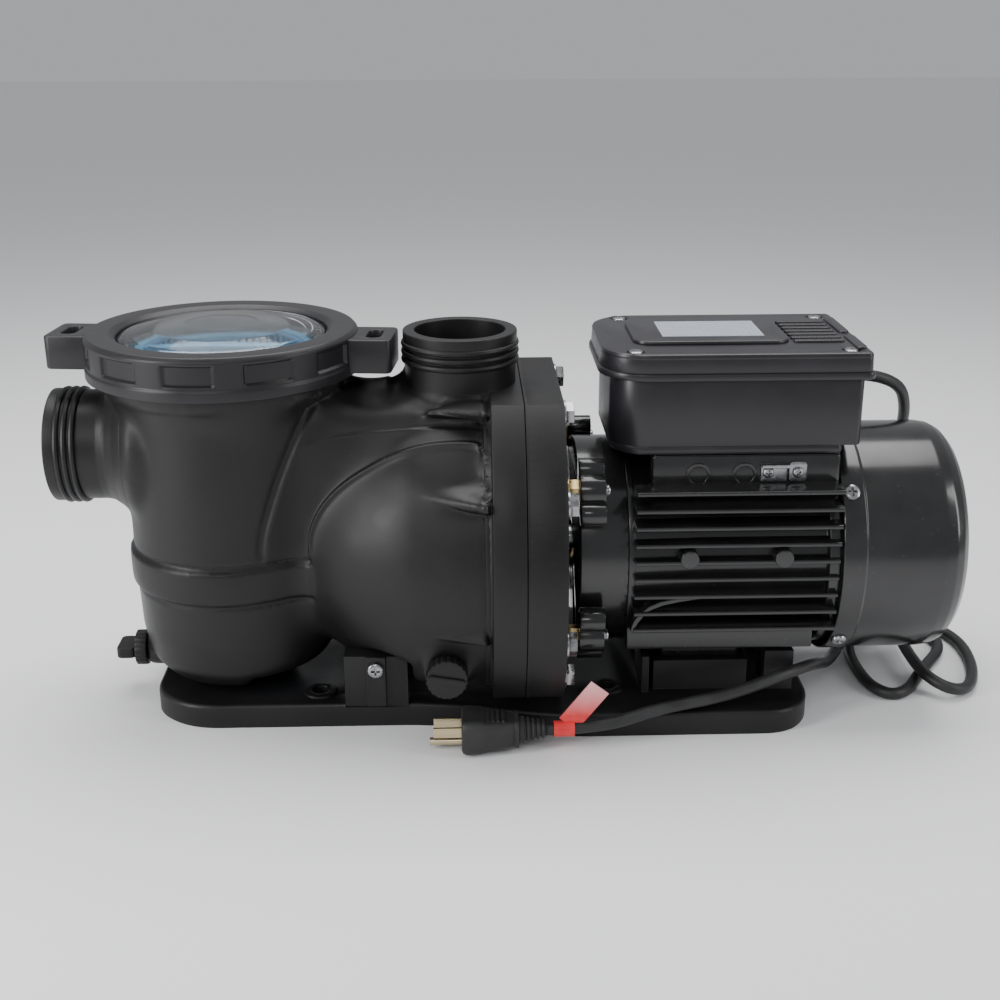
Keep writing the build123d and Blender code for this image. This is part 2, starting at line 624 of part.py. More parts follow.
with BuildPart() as motor_housing:
    rod_x(MOTOR_R, BRACKET_X1, MOTOR_X1)
    # level cooling fins on both sides
    for k in range(9):
        z = SHAFT_Z - 36 + k * 11.4
        reach = min(FIN_REACH, math.sqrt(94.0 ** 2 - (z - SHAFT_Z) ** 2))
        block(BRACKET_X1 + 3, MOTOR_X1 - 2, -reach, reach, z - 1.4, z + 1.4)
    # end bands
    rod_x(69, BRACKET_X1, BRACKET_X1 + 4)
    rod_x(72, MOTOR_X1 - 7, MOTOR_X1)
    # saddle under the terminal box
    block(118, MOTOR_X1 - 1, -56, 56, 148, BOX_Z0)
    # lower walls and the foot
    block(BRACKET_X1, MOTOR_X1 - 12, -62, 62, 50, 66)
    block(128, 182, -46, 46, 37, 52)
    # two side bosses
    for s in (-1, 1):
        for x in (141, 200):
            rod_y(6, s * 60, s * 77, x, SHAFT_Z + 12.5)
    rod_x(MOTOR_BORE, BRACKET_X1 - 1, MOTOR_X1 + 1, mode=Mode.SUBTRACT)
    # wire way into the box
    rod_z(10, 150, 185, 150, 0, mode=Mode.SUBTRACT)
    # foot screw and ground screw holes
    for s in (-1, 1):
        rod_z(2.6, 30, 46, 155, s * 30, mode=Mode.SUBTRACT)
    rod_y(2.1, -60, -45, 190.5, 168, mode=Mode.SUBTRACT)
    rod_y(2.1, -60, -45, 209, 168, mode=Mode.SUBTRACT)
save(motor_housing.part, "motor_housing")

with BuildPart() as pedestal_screws:
    for s in (-1, 1):
        rod_z(5.5, 29.5, 33, 155, s * 30)
        rod_z(2.5, 32, 45, 155, s * 30)
save(pedestal_screws.part, "pedestal_screws")

with BuildPart() as rear_bell:
    add(turned_x([(MOTOR_X1, 22), (MOTOR_X1, 72), (244, 72), (246, 70), (246, 23),
                  (253.5, 21.5), (253.5, 17.52), (240.6, 17.52), (240.6, 22)]))
    add(turned_x([(232, 58), (232, 62.0), (238, 62.0), (238, 58)]))
    for k in range(8):
        with Locations(Location((0, 0, SHAFT_Z), (45 * k + 20, 0, 0))):
            block(245, 250, -1.5, 1.5, 20, 66)
    for a in (50, 132, 228, 310):
        with Locations(Location((243.5, 0, SHAFT_Z), (-a, 0, 0))):
            with Locations((0, 0, 68)):
                Box(8, 12, 13)
            with Locations((0, 0, 70)):
                Cylinder(2.05, 20, mode=Mode.SUBTRACT)
save(rear_bell.part, "rear_bell")

with BuildPart() as wave_washer:
    ring_x(17.2, 13.2, 252.1, 253.3)
save(wave_washer.part, "wave_washer")

with BuildPart() as fan:
    ring_x(13, 6.02, 262, 285.6)
    add(turned_x([(262, 12), (262, 58), (264.5, 66), (267, 66), (265, 56), (265, 12)]))
    for k in range(9):
        with Locations(Location((0, 0, SHAFT_Z), (40 * k, 0, 0))):
            block(264, 284, -1.2, 1.2, 12, 66)
save(fan.part, "fan")

with BuildPart() as fan_clip:
    ring_x(9, 5.22, 286.0, 287.2)
save(fan_clip.part, "fan_clip")

with BuildPart() as fan_cover:
    add(turned_x([(MOTOR_X1 + 0.3, 75), (MOTOR_X1 + 0.3, COVER_R), (252, COVER_R),
                  (253, COVER_R - 0.8), (303, COVER_R - 0.8), (313, 73), (319, 66),
                  (321.3, 56), (COVER_X1, 40), (COVER_X1, 0), (COVER_X1 - 2.4, 0),
                  (COVER_X1 - 2.4, 40), (318.6, 55), (316.4, 64), (311.5, 70.6),
                  (303, 73.8), (253, 73.8), (251, 75)]))
    # air slots in the end
    for row in range(-6, 7):
        z = SHAFT_Z + row * 8
        half = math.sqrt(max(56.0 ** 2 - (row * 8) ** 2, 100))
        for s in (-1, 1):
            block(315, 326, min(s * 3, s * half), max(s * 3, s * half), z - 2, z + 2,
                  mode=Mode.SUBTRACT)
    for a in (50, 132, 228, 310):
        with Locations(Location((243.5, 0, SHAFT_Z), (-a, 0, 0))):
            with Locations((0, 0, 76)):
                Cylinder(2.4, 8, mode=Mode.SUBTRACT)
save(fan_cover.part, "fan_cover")

with BuildPart() as fan_cover_screws:
    for a in (50, 132, 228, 310):
        with Locations(Location((243.5, 0, SHAFT_Z), (-a, 0, 0))):
            with Locations((0, 0, 78.3)):
                Cylinder(5.2, 2.4)
            with Locations((0, 0, 70)):
                Cylinder(2.0, 16)
            with Locations((0, 0, 79.5)):
                Box(1.2, 5, 1.6, mode=Mode.SUBTRACT)
                Box(5, 1.2, 1.6, mode=Mode.SUBTRACT)
save(fan_cover_screws.part, "fan_cover_screws")


# ---------------------------------------------------------------- terminal box
def box_plan(x0, x1, half, big, small):
    """Box outline: round corners at the pump end, sharp ones at the fan end."""
    with BuildSketch(Plane.XY) as plan:
        with BuildLine():
            Line((x0, -half + big), (x0, half - big))
            Line((x1, -half + small), (x1, half - small))
            for s in (-1, 1):
                RadiusArc((x0, s * (half - big)), (x0 + big, s * half), s * big)
                Line((x0 + big, s * half), (x1 - small, s * half))
                RadiusArc((x1 - small, s * half), (x1, s * (half - small)), s * small)
        make_face()
    return plan.sketch


with BuildPart() as box_base:
    with Locations((0, 0, BOX_Z0)):
        add(extrude(box_plan(BOX_X0, BOX_X1, BOX_HALF, 24, 4), amount=49, mode=Mode.PRIVATE))
    with Locations((0, 0, BOX_Z0 + 3)):
        add(extrude(box_plan(BOX_X0 + 3, BOX_X1 - 3, BOX_HALF - 3, 21, 3), amount=60,
                    mode=Mode.PRIVATE), mode=Mode.SUBTRACT)
    for x in SCREW_X:
        for s in (-1, 1):
            rod_z(5.4, BOX_Z0 + 2, BOX_Z1, x, s * SCREW_Y)
            rod_z(2.05, 205, BOX_Z1 + 1, x, s * SCREW_Y, mode=Mode.SUBTRACT)
    rod_z(10, 170, 190, 150, 0, mode=Mode.SUBTRACT)
    # the floor steps up over the fan cover
    block(228, BOX_X1 - 1, -52, 52, BOX_Z0 + 1, BOX_Z0 + 7)
    rod_x(COVER_R + 0.6, MOTOR_X1 - 0.2, BOX_X1 + 1, mode=Mode.SUBTRACT)
    rod_x(8.1, 240, 250, GLAND[1], GLAND[2], mode=Mode.SUBTRACT)
save(box_base.part, "box_base")

with BuildPart() as box_gasket:
    with Locations((0, 0, BOX_Z1)):
        add(extrude(box_plan(BOX_X0 + 0.3, BOX_X1 - 0.3, BOX_HALF - 0.3, 23.7, 3.7),
                    amount=1.5, mode=Mode.PRIVATE))
    with Locations((0, 0, BOX_Z1 - 1)):
        add(extrude(box_plan(BOX_X0 + 3, BOX_X1 - 3, BOX_HALF - 3, 21, 3), amount=4,
                    mode=Mode.PRIVATE), mode=Mode.SUBTRACT)
    for x in SCREW_X:
        for s in (-1, 1):
            rod_z(5.4, BOX_Z1, BOX_Z1 + 1.5, x, s * SCREW_Y)
            rod_z(2.2, BOX_Z1 - 1, BOX_Z1 + 3, x, s * SCREW_Y, mode=Mode.SUBTRACT)
save(box_gasket.part, "box_gasket")

with BuildPart() as box_lid:
    with Locations((0, 0, BOX_Z1 - 1)):
        add(extrude(box_plan(85.5, 253, 59, 30, 5), amount=4, mode=Mode.PRIVATE))
    with Locations((0, 0, BOX_Z1 + 2)):
        add(extrude(box_plan(87, 251.5, 57.5, 28.5, 4), amount=13.5, mode=Mode.PRIVATE))
    chamfer(box_lid.faces().sort_by(Axis.Z)[-1].edges(), 2.5)
    # raised panel with air slots and two humps
    block(118, 206, -31, 31, LID_TOP - 1, 246)
    for row in range(7):
        y = -27 + row * 9
        block(208, 240, y - 2.5, y + 2.5, LID_TOP - 1, 245)
    with Locations((246, 18, LID_TOP)):
        Box(7, 44, 3)
    with Locations((246, -30, LID_TOP)):
        Box(7, 34, 3)
    # hollow below, over the gasket
    with Locations((0, 0, BOX_Z1 - 2)):
        add(extrude(box_plan(BOX_X0 - 0.2, BOX_X1 + 0.2, BOX_HALF + 0.2, 24.2, 4.2),
                    amount=3.5, mode=Mode.PRIVATE), mode=Mode.SUBTRACT)
    with Locations((0, 0, BOX_Z1 - 2)):
        add(extrude(box_plan(BOX_X0 + 3, BOX_X1 - 3, BOX_HALF - 3, 21, 3), amount=14,
                    mode=Mode.PRIVATE), mode=Mode.SUBTRACT)
    for x in SCREW_X:
        for s in (-1, 1):
            rod_z(5.4, BOX_Z1 + 1.5, BOX_Z1 + 13, x, s * SCREW_Y)
            rod_z(2.2, BOX_Z1 - 2, LID_TOP + 4, x, s * SCREW_Y, mode=Mode.SUBTRACT)
            rod_z(5.0, LID_TOP - 1.5, LID_TOP + 4, x, s * SCREW_Y, mode=Mode.SUBTRACT)
save(box_lid.part, "box_lid")

with BuildPart() as lid_screws:
    for x in SCREW_X:
        for s in (-1, 1):
            rod_z(4.4, LID_TOP - 1.5, LID_TOP + 1.2, x, s * SCREW_Y)
            rod_z(2.0, 208, LID_TOP, x, s * SCREW_Y)
            block(x - 2.5, x + 2.5, s * SCREW_Y - 0.6, s * SCREW_Y + 0.6, LID_TOP, LID_TOP + 2,
                  mode=Mode.SUBTRACT)
            block(x - 0.6, x + 0.6, s * SCREW_Y - 2.5, s * SCREW_Y + 2.5, LID_TOP, LID_TOP + 2,
                  mode=Mode.SUBTRACT)
save(lid_screws.part, "lid_screws")

with BuildPart() as capacitor:
    rod_x(19, 118, 204, -29, BOX_Z0 + 22.2)
    for s in (-1, 1):
        block(204, 212, -29 + s * 7 - 0.4, -29 + s * 7 + 0.4, BOX_Z0 + 19, BOX_Z0 + 25)
save(capacitor.part, "capacitor")

with BuildPart() as terminal_block:
    block(160, 214, 14, 40, BOX_Z0 + 3, BOX_Z0 + 22)
    for k in range(4):
        block(163 + 13 * k, 172 + 13 * k, 12, 42, BOX_Z0 + 14, BOX_Z0 + 18, mode=Mode.SUBTRACT)
        rod_z(3, BOX_Z0 + 20, BOX_Z0 + 24, 167.5 + 13 * k, 27)
save(terminal_block.part, "terminal_block")

with BuildPart() as rating_label:
    block(127, 191, -21, 22, 246.0, 246.4)
save(rating_label.part, "rating_label")

with BuildPart() as ground_clamp:
    block(186, 202, -57.5, -56, 162, 174)
    block(203.5, 214.5, -57.8, -56, 162, 175)
    block(186, 203, -61, -57.5, 171.5, 174)
    rod_y(2.2, -62, -55, 190.5, 168, mode=Mode.SUBTRACT)
    rod_y(2.2, -62, -55, 209, 168, mode=Mode.SUBTRACT)
save(ground_clamp.part, "ground_clamp")

with BuildPart() as ground_screws:
    for x, y in ((190.5, -57.5), (209, -57.8)):
        rod_y(3.4, y - 2.2, y, x, 168)
        rod_y(2.05, y - 1, -46, x, 168)
        block(x - 2.2, x + 2.2, y - 3, y - 1.4, 167.5, 168.5, mode=Mode.SUBTRACT)
        block(x - 0.5, x + 0.5, y - 3, y - 1.4, 165.8, 170.2, mode=Mode.SUBTRACT)
save(ground_screws.part, "ground_screws")

# ---------------------------------------------------------------- cord, hank and plug
with BuildPart() as cord_gland:
    rod_x(8.0, 243.5, BOX_X1 + 0.5, GLAND[1], GLAND[2])
    with BuildSketch(Plane.YZ.offset(BOX_X1)):
        with Locations((GLAND[1], GLAND[2])):
            RegularPolygon(11, 6)
    extrude(amount=6)
    rod_x(8.5, BOX_X1 + 5, BOX_X1 + 13, GLAND[1], GLAND[2])
    rod_x(CORD_R + 0.4, 243, BOX_X1 + 10.5, GLAND[1], GLAND[2], mode=Mode.SUBTRACT)
save(cord_gland.part, "cord_gland")


def soft_tube(points, name):
    """A round cord through points, every corner as open as its runs allow."""
    radii = []
    for a, b, c in zip(points, points[1:], points[2:]):
        u, v = Vector(*b) - Vector(*a), Vector(*c) - Vector(*b)
        turn = math.radians(u.get_angle(v))
        radii.append(0.45 * min(u.length, v.length) / math.tan(turn / 2))
    print(name, "radii", [round(r, 1) for r in radii])
    with BuildPart() as tube:
        with BuildLine() as path:
            FilletPolyline(*points, radius=radii)
        start = Plane(origin=points[0], z_dir=Vector(*points[1]) - Vector(*points[0]))
        with BuildSketch(start):
            Circle(CORD_R)
        sweep(path=path.wires()[0])
    length = path.wires()[0].length
    print(name, "length", round(length, 1), "volume ratio",
          round(tube.part.volume / (math.pi * CORD_R ** 2 * length), 4))
    return tube.part


UPPER_ROUTE = [(260.5, 40, 205), (297, 40, 205), (314, 61, 170), (314, 100, 124),
               (312, 122, 78), (316, 124, 40), (317, 104, 13.6), (317, 74, 13.6)]
HANK_TAIL = [(280, 41, 13.6), (264.4, 13.2, 13)]
TAIL_WAY = (Vector(*HANK_TAIL[1]) - Vector(*HANK_TAIL[0])).normalized()
LOWER_ROUTE = [HANK_TAIL[1], (250.7, -11.2, 13.5), (236, -37, 26),
               (214, -68, 37), (170, -80, 25.5), (124, -87, 21), (86, -97, 13), (52, -97, 13)]
save(soft_tube(UPPER_ROUTE, "cord_upper"), "cord_upper")
save(soft_tube(LOWER_ROUTE, "cord_lower"), "cord_lower")

with BuildPart() as cord_hank:
    hx0, hx1, hy0, hy1, hh = HANK
    with BuildSketch(Plane.XY):
        with Locations(((hx0 + hx1) / 2, (hy0 + hy1) / 2)):
            RectangleRounded(hx1 - hx0, hy1 - hy0, 42)
    extrude(amount=hh)
    # the tail that leaves the hank
    with Locations(Plane(origin=HANK_TAIL[0], z_dir=TAIL_WAY).location):
        Cylinder(CORD_R, (Vector(*HANK_TAIL[1]) - Vector(*HANK_TAIL[0])).length,
                 align=(Align.CENTER, Align.CENTER, Align.MIN))
save(cord_hank.part, "cord_hank")

with BuildPart() as strain_relief:
    with BuildSketch(Plane.YZ.offset(34)):
        with Locations((-97, 13)):
            Circle(8.5)
    with BuildSketch(Plane.YZ.offset(51.9)):
        with Locations((-97, 13)):
            Circle(5.2)
    loft()
save(strain_relief.part, "strain_relief")

with BuildPart() as plug_body:
    with BuildSketch(Plane.YZ.offset(-2)):
        with Locations((-97, 13)):
            RectangleRounded(30, 24, 7)
    with BuildSketch(Plane.YZ.offset(34)):
        with Locations((-97, 13)):
            RectangleRounded(22, 19, 6)
    loft()
save(plug_body.part, "plug_body")

with BuildPart() as plug_prongs:
    for y in (-103.35, -90.65):
        block(-19.5, -2, y - 0.75, y + 0.75, 11.8, 18.2)
    rod_x(2.4, -22, -2, -97, 5.6)
save(plug_prongs.part, "plug_prongs")

with BuildPart() as cord_tag:
    ring_x(5.0, 4.05, 56, 69, -97, 13)
    with Locations(Location((62.5, -97, 13), (0, 38, 0))):
        with Locations((0, 0, 20)):
            Box(14, 0.9, 32)
    rod_x(4.05, 50, 84, -97, 13, mode=Mode.SUBTRACT)
save(cord_tag.part, "cord_tag")

print("pieces written:", len(os.listdir("parts")))
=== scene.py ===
import math

import bmesh
import bpy
import numpy as np
from mathutils import Matrix, Vector


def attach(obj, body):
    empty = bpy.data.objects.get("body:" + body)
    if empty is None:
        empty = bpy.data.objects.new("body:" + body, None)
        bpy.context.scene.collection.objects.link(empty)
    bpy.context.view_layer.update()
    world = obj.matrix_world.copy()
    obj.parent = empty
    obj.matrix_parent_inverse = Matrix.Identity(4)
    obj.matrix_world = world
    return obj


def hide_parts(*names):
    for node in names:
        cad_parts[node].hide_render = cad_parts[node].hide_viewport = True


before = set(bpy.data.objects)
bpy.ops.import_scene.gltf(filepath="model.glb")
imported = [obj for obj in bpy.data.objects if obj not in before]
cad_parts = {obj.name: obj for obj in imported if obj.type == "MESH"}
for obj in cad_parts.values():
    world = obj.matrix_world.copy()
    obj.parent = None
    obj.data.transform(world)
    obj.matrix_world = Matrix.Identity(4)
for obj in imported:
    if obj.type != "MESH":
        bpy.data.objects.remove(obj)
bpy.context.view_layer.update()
MM = 0.001

# ------------------------------------------------------------------ camera
# A 50 mm lens at bench height, a little above the pump and looking down at it,
# square on to its long side.
EYE = Vector((0.74, -870.11, 443.23)) * MM
PITCH = math.radians(19.7)
YAW = math.radians(1.62)
ROLL = math.radians(-0.17)

ahead = Vector((math.sin(YAW) * math.cos(PITCH), math.cos(YAW) * math.cos(PITCH),
                -math.sin(PITCH)))
level = Vector((math.cos(YAW), -math.sin(YAW), 0))
above = level.cross(ahead)
right = level * math.cos(ROLL) + above * math.sin(ROLL)
up = above * math.cos(ROLL) - level * math.sin(ROLL)
lens = bpy.data.cameras.new("bench_camera")
lens.lens = 50
lens.sensor_width = 36
lens.clip_start = 0.02
camera = bpy.data.objects.new("bench_camera", lens)
bpy.context.collection.objects.link(camera)
camera.matrix_world = Matrix.Translation(EYE) @ Matrix((right, up, -ahead)).transposed().to_4x4()
bpy.context.scene.camera = camera

# ------------------------------------------------------------------ studio
# A pale floor that runs on to the horizon, one big soft light overhead, a strip
# at each side and a dim one in front, so that black plastic shows its shape.


def piece(name, mesh):
    """A finished object at the origin, holding this mesh."""
    mesh.name = name
    made = bpy.data.objects.new(name, mesh)
    bpy.context.collection.objects.link(made)
    return made


floor_mesh = bpy.data.meshes.new("floor")
floor_mesh.from_pydata([(-6, -4, 0), (6, -4, 0), (6, 8, 0), (-6, 8, 0)], [], [(0, 1, 2, 3)])
floor = piece("floor", floor_mesh)
floor_paint = bpy.data.materials.new("floor_paint")
floor_paint.use_nodes = True
paint = floor_paint.node_tree.nodes["Principled BSDF"]
paint.inputs["Base Color"].default_value = (0.9, 0.9, 0.91, 1)
paint.inputs["Roughness"].default_value = 0.7
floor_mesh.materials.append(floor_paint)

world = bpy.data.worlds.new("studio_air")
world.use_nodes = True
world.node_tree.nodes["Background"].inputs["Color"].default_value = (0.95, 0.97, 1.0, 1)
world.node_tree.nodes["Background"].inputs["Strength"].default_value = 0.45
bpy.context.scene.world = world


def soft_light(name, place, aim, wide, tall, watts):
    """A rectangular soft light pointed at a spot."""
    light = bpy.data.lights.new(name, "AREA")
    light.shape = "RECTANGLE"
    light.size = wide
    light.size_y = tall
    light.energy = watts
    lamp = bpy.data.objects.new(name, light)
    bpy.context.collection.objects.link(lamp)
    lamp.location = place
    lamp.rotation_euler = (Vector(aim) - Vector(place)).to_track_quat("-Z", "Y").to_euler()


soft_light("overhead", (0.0, 0.3, 1.2), (0.0, 0.0, 0.1), 1.4, 0.7, 17)
soft_light("left_strip", (-0.95, -0.55, 0.55), (-0.1, 0, 0.12), 0.25, 0.8, 9)
soft_light("right_strip", (1.05, -0.45, 0.6), (0.15, 0, 0.12), 0.25, 0.8, 4)
soft_light("front_fill", (-0.3, -1.5, 1.15), (0, 0, 0.12), 0.7, 0.3, 4)

# ------------------------------------------------------------------ mains cord
# Round 8 mm rubber-sheathed cord, one length from the gland on the terminal box:
# down behind the fan cover, two loose loops on the floor, and forward to the plug.
CORD_D = 8 * MM
CORD_POINTS = [
    (260.5, 40, 205), (297, 40, 205), (314, 61, 170), (314, 100, 124), (312, 122, 78),
    (316, 124, 40), (317, 104, 13.6), (317, 74, 13.6),
    # first loop, on the right
    (315, 50, 13.6), (312, 20, 13.6), (311, -12, 13.4), (315, -34, 11.5), (327, -44, 8),
    (341, -37, 5), (352, -16, 4.4), (359, 12, 4.4), (360, 38, 4.4), (353, 59, 4.4),
    (337, 68.5, 4.4), (316, 69.5, 4.4),
    # second loop, on the left, and back inside the first
    (297, 64, 4.4), (282, 47, 4.4), (275, 22, 4.4), (274, -8, 4.4), (277, -31, 4.4),
    (287, -44, 4.4), (301, -36, 4.4), (313, -16, 4.4), (327, 4, 4.4), (340, 22, 4.4),
    (345, 40, 4.4), (338, 55, 4.4), (323, 59, 4.4), (309, 57, 5.5), (297, 52, 11),
    # out of the hank and along the floor to the plug
    (280, 41, 13.6), (264.4, 13.2, 13), (250.7, -11.2, 13.5), (236, -37, 26), (214, -68, 37),
    (170, -80, 25.5), (124, -87, 21), (86, -97, 13), (52, -97, 13)]


def node_group(name, inputs, outputs, kind="ShaderNodeTree"):
    """An empty group with these sockets, and its two end nodes."""
    tree = bpy.data.node_groups.new(name, kind)
    for label, sort, value in inputs:
        socket = tree.interface.new_socket(label, in_out="INPUT", socket_type="NodeSocket" + sort)
        if value is not None:
            socket.default_value = value
    for label, sort in outputs:
        tree.interface.new_socket(label, in_out="OUTPUT", socket_type="NodeSocket" + sort)
    return tree, tree.nodes.new("NodeGroupInput"), tree.nodes.new("NodeGroupOutput")


def maths(nodes, operation, second=None):
    """A math node, its second value set where that is a constant."""
    node = nodes.new("ShaderNodeMath")
    node.operation = operation
    if second is not None:
        node.inputs[1].default_value = second
    return node


def wires(link, *runs):
    """Links, each given as (from node, its output, to node, its input)."""
    for start, outlet, end, inlet in runs:
        link(start.outputs[outlet], end.inputs[inlet])


# Fine grain from the mould, and broad patches where the surface was handled or flowed.
grain, feed, out = node_group(
    "surface_grain",
    [("Vector", "Vector", None), ("Grain per metre", "Float", 900.0),
     ("Patches per metre", "Float", 14.0)],
    [("Height", "Float"), ("Patch", "Float"), ("Dust", "Float")])
fine = grain.nodes.new("ShaderNodeTexNoise")
fine.inputs["Detail"].default_value = 3
coarse = grain.nodes.new("ShaderNodeTexNoise")
coarse.inputs["Detail"].default_value = 4
coarse.inputs["Roughness"].default_value = 0.6
specks = grain.nodes.new("ShaderNodeTexVoronoi")
grow = maths(grain.nodes, "MULTIPLY", 0.35)
fleck = grain.nodes.new("ShaderNodeMapRange")
fleck.inputs["From Min"].default_value = 0.16
fleck.inputs["From Max"].default_value = 0.05
lift = grain.nodes.new("ShaderNodeMapRange")
lift.inputs["From Min"].default_value = 0.35
lift.inputs["From Max"].default_value = 0.65
for texture in (fine, coarse, specks):
    grain.links.new(feed.outputs["Vector"], texture.inputs["Vector"])
wires(grain.links.new, (feed, "Grain per metre", fine, "Scale"),
      (feed, "Patches per metre", coarse, "Scale"), (feed, "Grain per metre", grow, 0),
      (grow, 0, specks, "Scale"), (specks, "Distance", fleck, "Value"),
      (coarse, "Fac", lift, "Value"), (fine, "Fac", out, "Height"),
      (lift, "Result", out, "Patch"), (fleck, "Result", out, "Dust"))


def finish(name, dark, light, rough, grain_size=900.0, patches=14.0, bump=0.15, depth=0.0001,
           stretch=(1, 1, 1), metal=0.0, coat=0.0, dust=0.0, shine=0.5):
    """A material with grain, patches of gloss and tone, and a little dust."""
    made = bpy.data.materials.new(name)
    made.use_nodes = True
    tree = made.node_tree
    shader = tree.nodes["Principled BSDF"]
    shader.inputs["Metallic"].default_value = metal
    shader.inputs["Coat Weight"].default_value = coat
    shader.inputs["Coat Roughness"].default_value = 0.12
    shader.inputs["Specular IOR Level"].default_value = shine
    where = tree.nodes.new("ShaderNodeTexCoord")
    turn = tree.nodes.new("ShaderNodeMapping")
    turn.inputs["Scale"].default_value = stretch
    tree.links.new(where.outputs["Object"], turn.inputs["Vector"])
    surface = tree.nodes.new("ShaderNodeGroup")
    surface.node_tree = grain
    surface.inputs["Grain per metre"].default_value = grain_size
    surface.inputs["Patches per metre"].default_value = patches
    tree.links.new(turn.outputs["Vector"], surface.inputs["Vector"])
    tone = tree.nodes.new("ShaderNodeMix")
    tone.data_type = "RGBA"
    tone.inputs["A"].default_value = (*dark, 1)
    tone.inputs["B"].default_value = (*light, 1)
    tree.links.new(surface.outputs["Patch"], tone.inputs["Factor"])
    dusty = tree.nodes.new("ShaderNodeMix")
    dusty.data_type = "RGBA"
    dusty.inputs["B"].default_value = (0.35, 0.33, 0.3, 1)
    amount = maths(tree.nodes, "MULTIPLY", dust)
    wires(tree.links.new, (surface, "Dust", amount, 0), (amount, 0, dusty, "Factor"),
          (tone, "Result", dusty, "A"), (dusty, "Result", shader, "Base Color"))
    gloss = tree.nodes.new("ShaderNodeMapRange")
    gloss.inputs["To Min"].default_value = rough[0]
    gloss.inputs["To Max"].default_value = rough[1]
    tree.links.new(surface.outputs["Patch"], gloss.inputs["Value"])
    tree.links.new(gloss.outputs["Result"], shader.inputs["Roughness"])
    relief = tree.nodes.new("ShaderNodeBump")
    relief.inputs["Strength"].default_value = bump
    relief.inputs["Distance"].default_value = depth
    tree.links.new(surface.outputs["Height"], relief.inputs["Height"])
    tree.links.new(relief.outputs["Normal"], shader.inputs["Normal"])
    return made


cord_sheath = finish("cord_sheath", (0.012, 0.012, 0.012), (0.022, 0.022, 0.023), (0.42, 0.55),
                     grain_size=1400, patches=60, bump=0.2, dust=0.05)
cord_line = bpy.data.curves.new("mains_cord", "CURVE")
cord_line.dimensions = "3D"
cord_line.bevel_depth = CORD_D / 2
cord_line.bevel_resolution = 5
cord_line.use_fill_caps = True
run = cord_line.splines.new("NURBS")
run.points.add(len(CORD_POINTS) - 1)
for spot, place in zip(run.points, CORD_POINTS):
    spot.co = (*(Vector(place) * MM), 1)
run.order_u = 3
run.use_endpoint_u = True
run.resolution_u = 10
cord_line.materials.append(cord_sheath)
cord = bpy.data.objects.new("mains_cord", cord_line)
bpy.context.collection.objects.link(cord)


def fit(made, body, slot, *nodes):
    """The piece moves with its body and stands for these CAD pieces."""
    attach(made, body)
    if nodes:
        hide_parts(*nodes)
    return made


def dress(made, coat, body, slot, *nodes):
    """The piece takes its finish, then is fitted as above."""
    made.data.materials.append(coat)
    return fit(made, body, slot, *nodes)


def recoat(node, coat):
    """A CAD piece that stays as it is takes a finish of its own."""
    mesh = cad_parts[node].data
    mesh.materials.clear()
    mesh.materials.append(coat)


fit(cord, "frame", "cord_rubber", "cord_upper", "cord_hank", "cord_lower")

# ------------------------------------------------------------------ plug
# A moulded three-pin plug: ribbed strain relief, waisted body with grip bars on
# its top face, two flat brass blades and a round earth pin.
PLUG_Y, PLUG_Z = -97, 13


def smooth(mesh, angle=32):
    """Round shading, with creases kept where faces meet at more than this angle."""
    mesh.polygons.foreach_set("use_smooth", [True] * len(mesh.polygons))
    mesh.set_sharp_from_angle(angle=math.radians(angle))
    return mesh


def rounded_profile(points, corner):
    """(radius, along) points with each corner turned into a small arc."""
    made = []
    count = len(points)
    for k, (r, h) in enumerate(points):
        if k in (0, count - 1):
            made.append((r, h))
            continue
        here = Vector((r, h))
        back = Vector(points[k - 1]) - here
        on = Vector(points[k + 1]) - here
        reach = min(corner, 0.45 * back.length, 0.45 * on.length)
        start, end = here + back.normalized() * reach, here + on.normalized() * reach
        for t in (0, 0.25, 0.5, 0.75, 1):
            made.append(tuple(start * (1 - t) ** 2 + here * 2 * t * (1 - t) + end * t * t))
    return made


def turned(profile, centre, axis="Z", corner=0.6, steps=96, closed=False):
    """A mesh turned about an axis through centre; profile is (radius, along) in mm."""
    ring = profile + [profile[0]] if closed else profile
    line = rounded_profile(ring, corner)
    if closed:
        line = line[1:-1] + [line[1]]
    verts, faces = [], []
    for r, h in line:
        for k in range(steps):
            a = 2 * math.pi * k / steps
            u, v = r * math.cos(a), r * math.sin(a)
            spot = {"Z": (u, v, h), "X": (h, u, v), "Y": (v, h, u)}[axis]
            verts.append(tuple((Vector(spot) + Vector(centre)) * MM))
    for i in range(len(line) - 1):
        for k in range(steps):
            m = (k + 1) % steps
            faces.append((i * steps + k, i * steps + m, (i + 1) * steps + m, (i + 1) * steps + k))
    mesh = bpy.data.meshes.new("turned")
    mesh.from_pydata(verts, [], faces)
    return tidy(mesh)


def tidy(mesh, angle=32):
    """Doubles merged, poles closed and faces turned outwards."""
    work = bmesh.new()
    work.from_mesh(mesh)
    bmesh.ops.remove_doubles(work, verts=work.verts, dist=1e-6)
    bmesh.ops.recalc_face_normals(work, faces=work.faces)
    work.to_mesh(mesh)
    work.free()
    return smooth(mesh, angle)


def joined(*meshes):
    """Several meshes as one."""
    work = bmesh.new()
    for mesh in meshes:
        work.from_mesh(mesh)
    made = bpy.data.meshes.new("joined")
    work.to_mesh(made)
    work.free()
    return smooth(made)


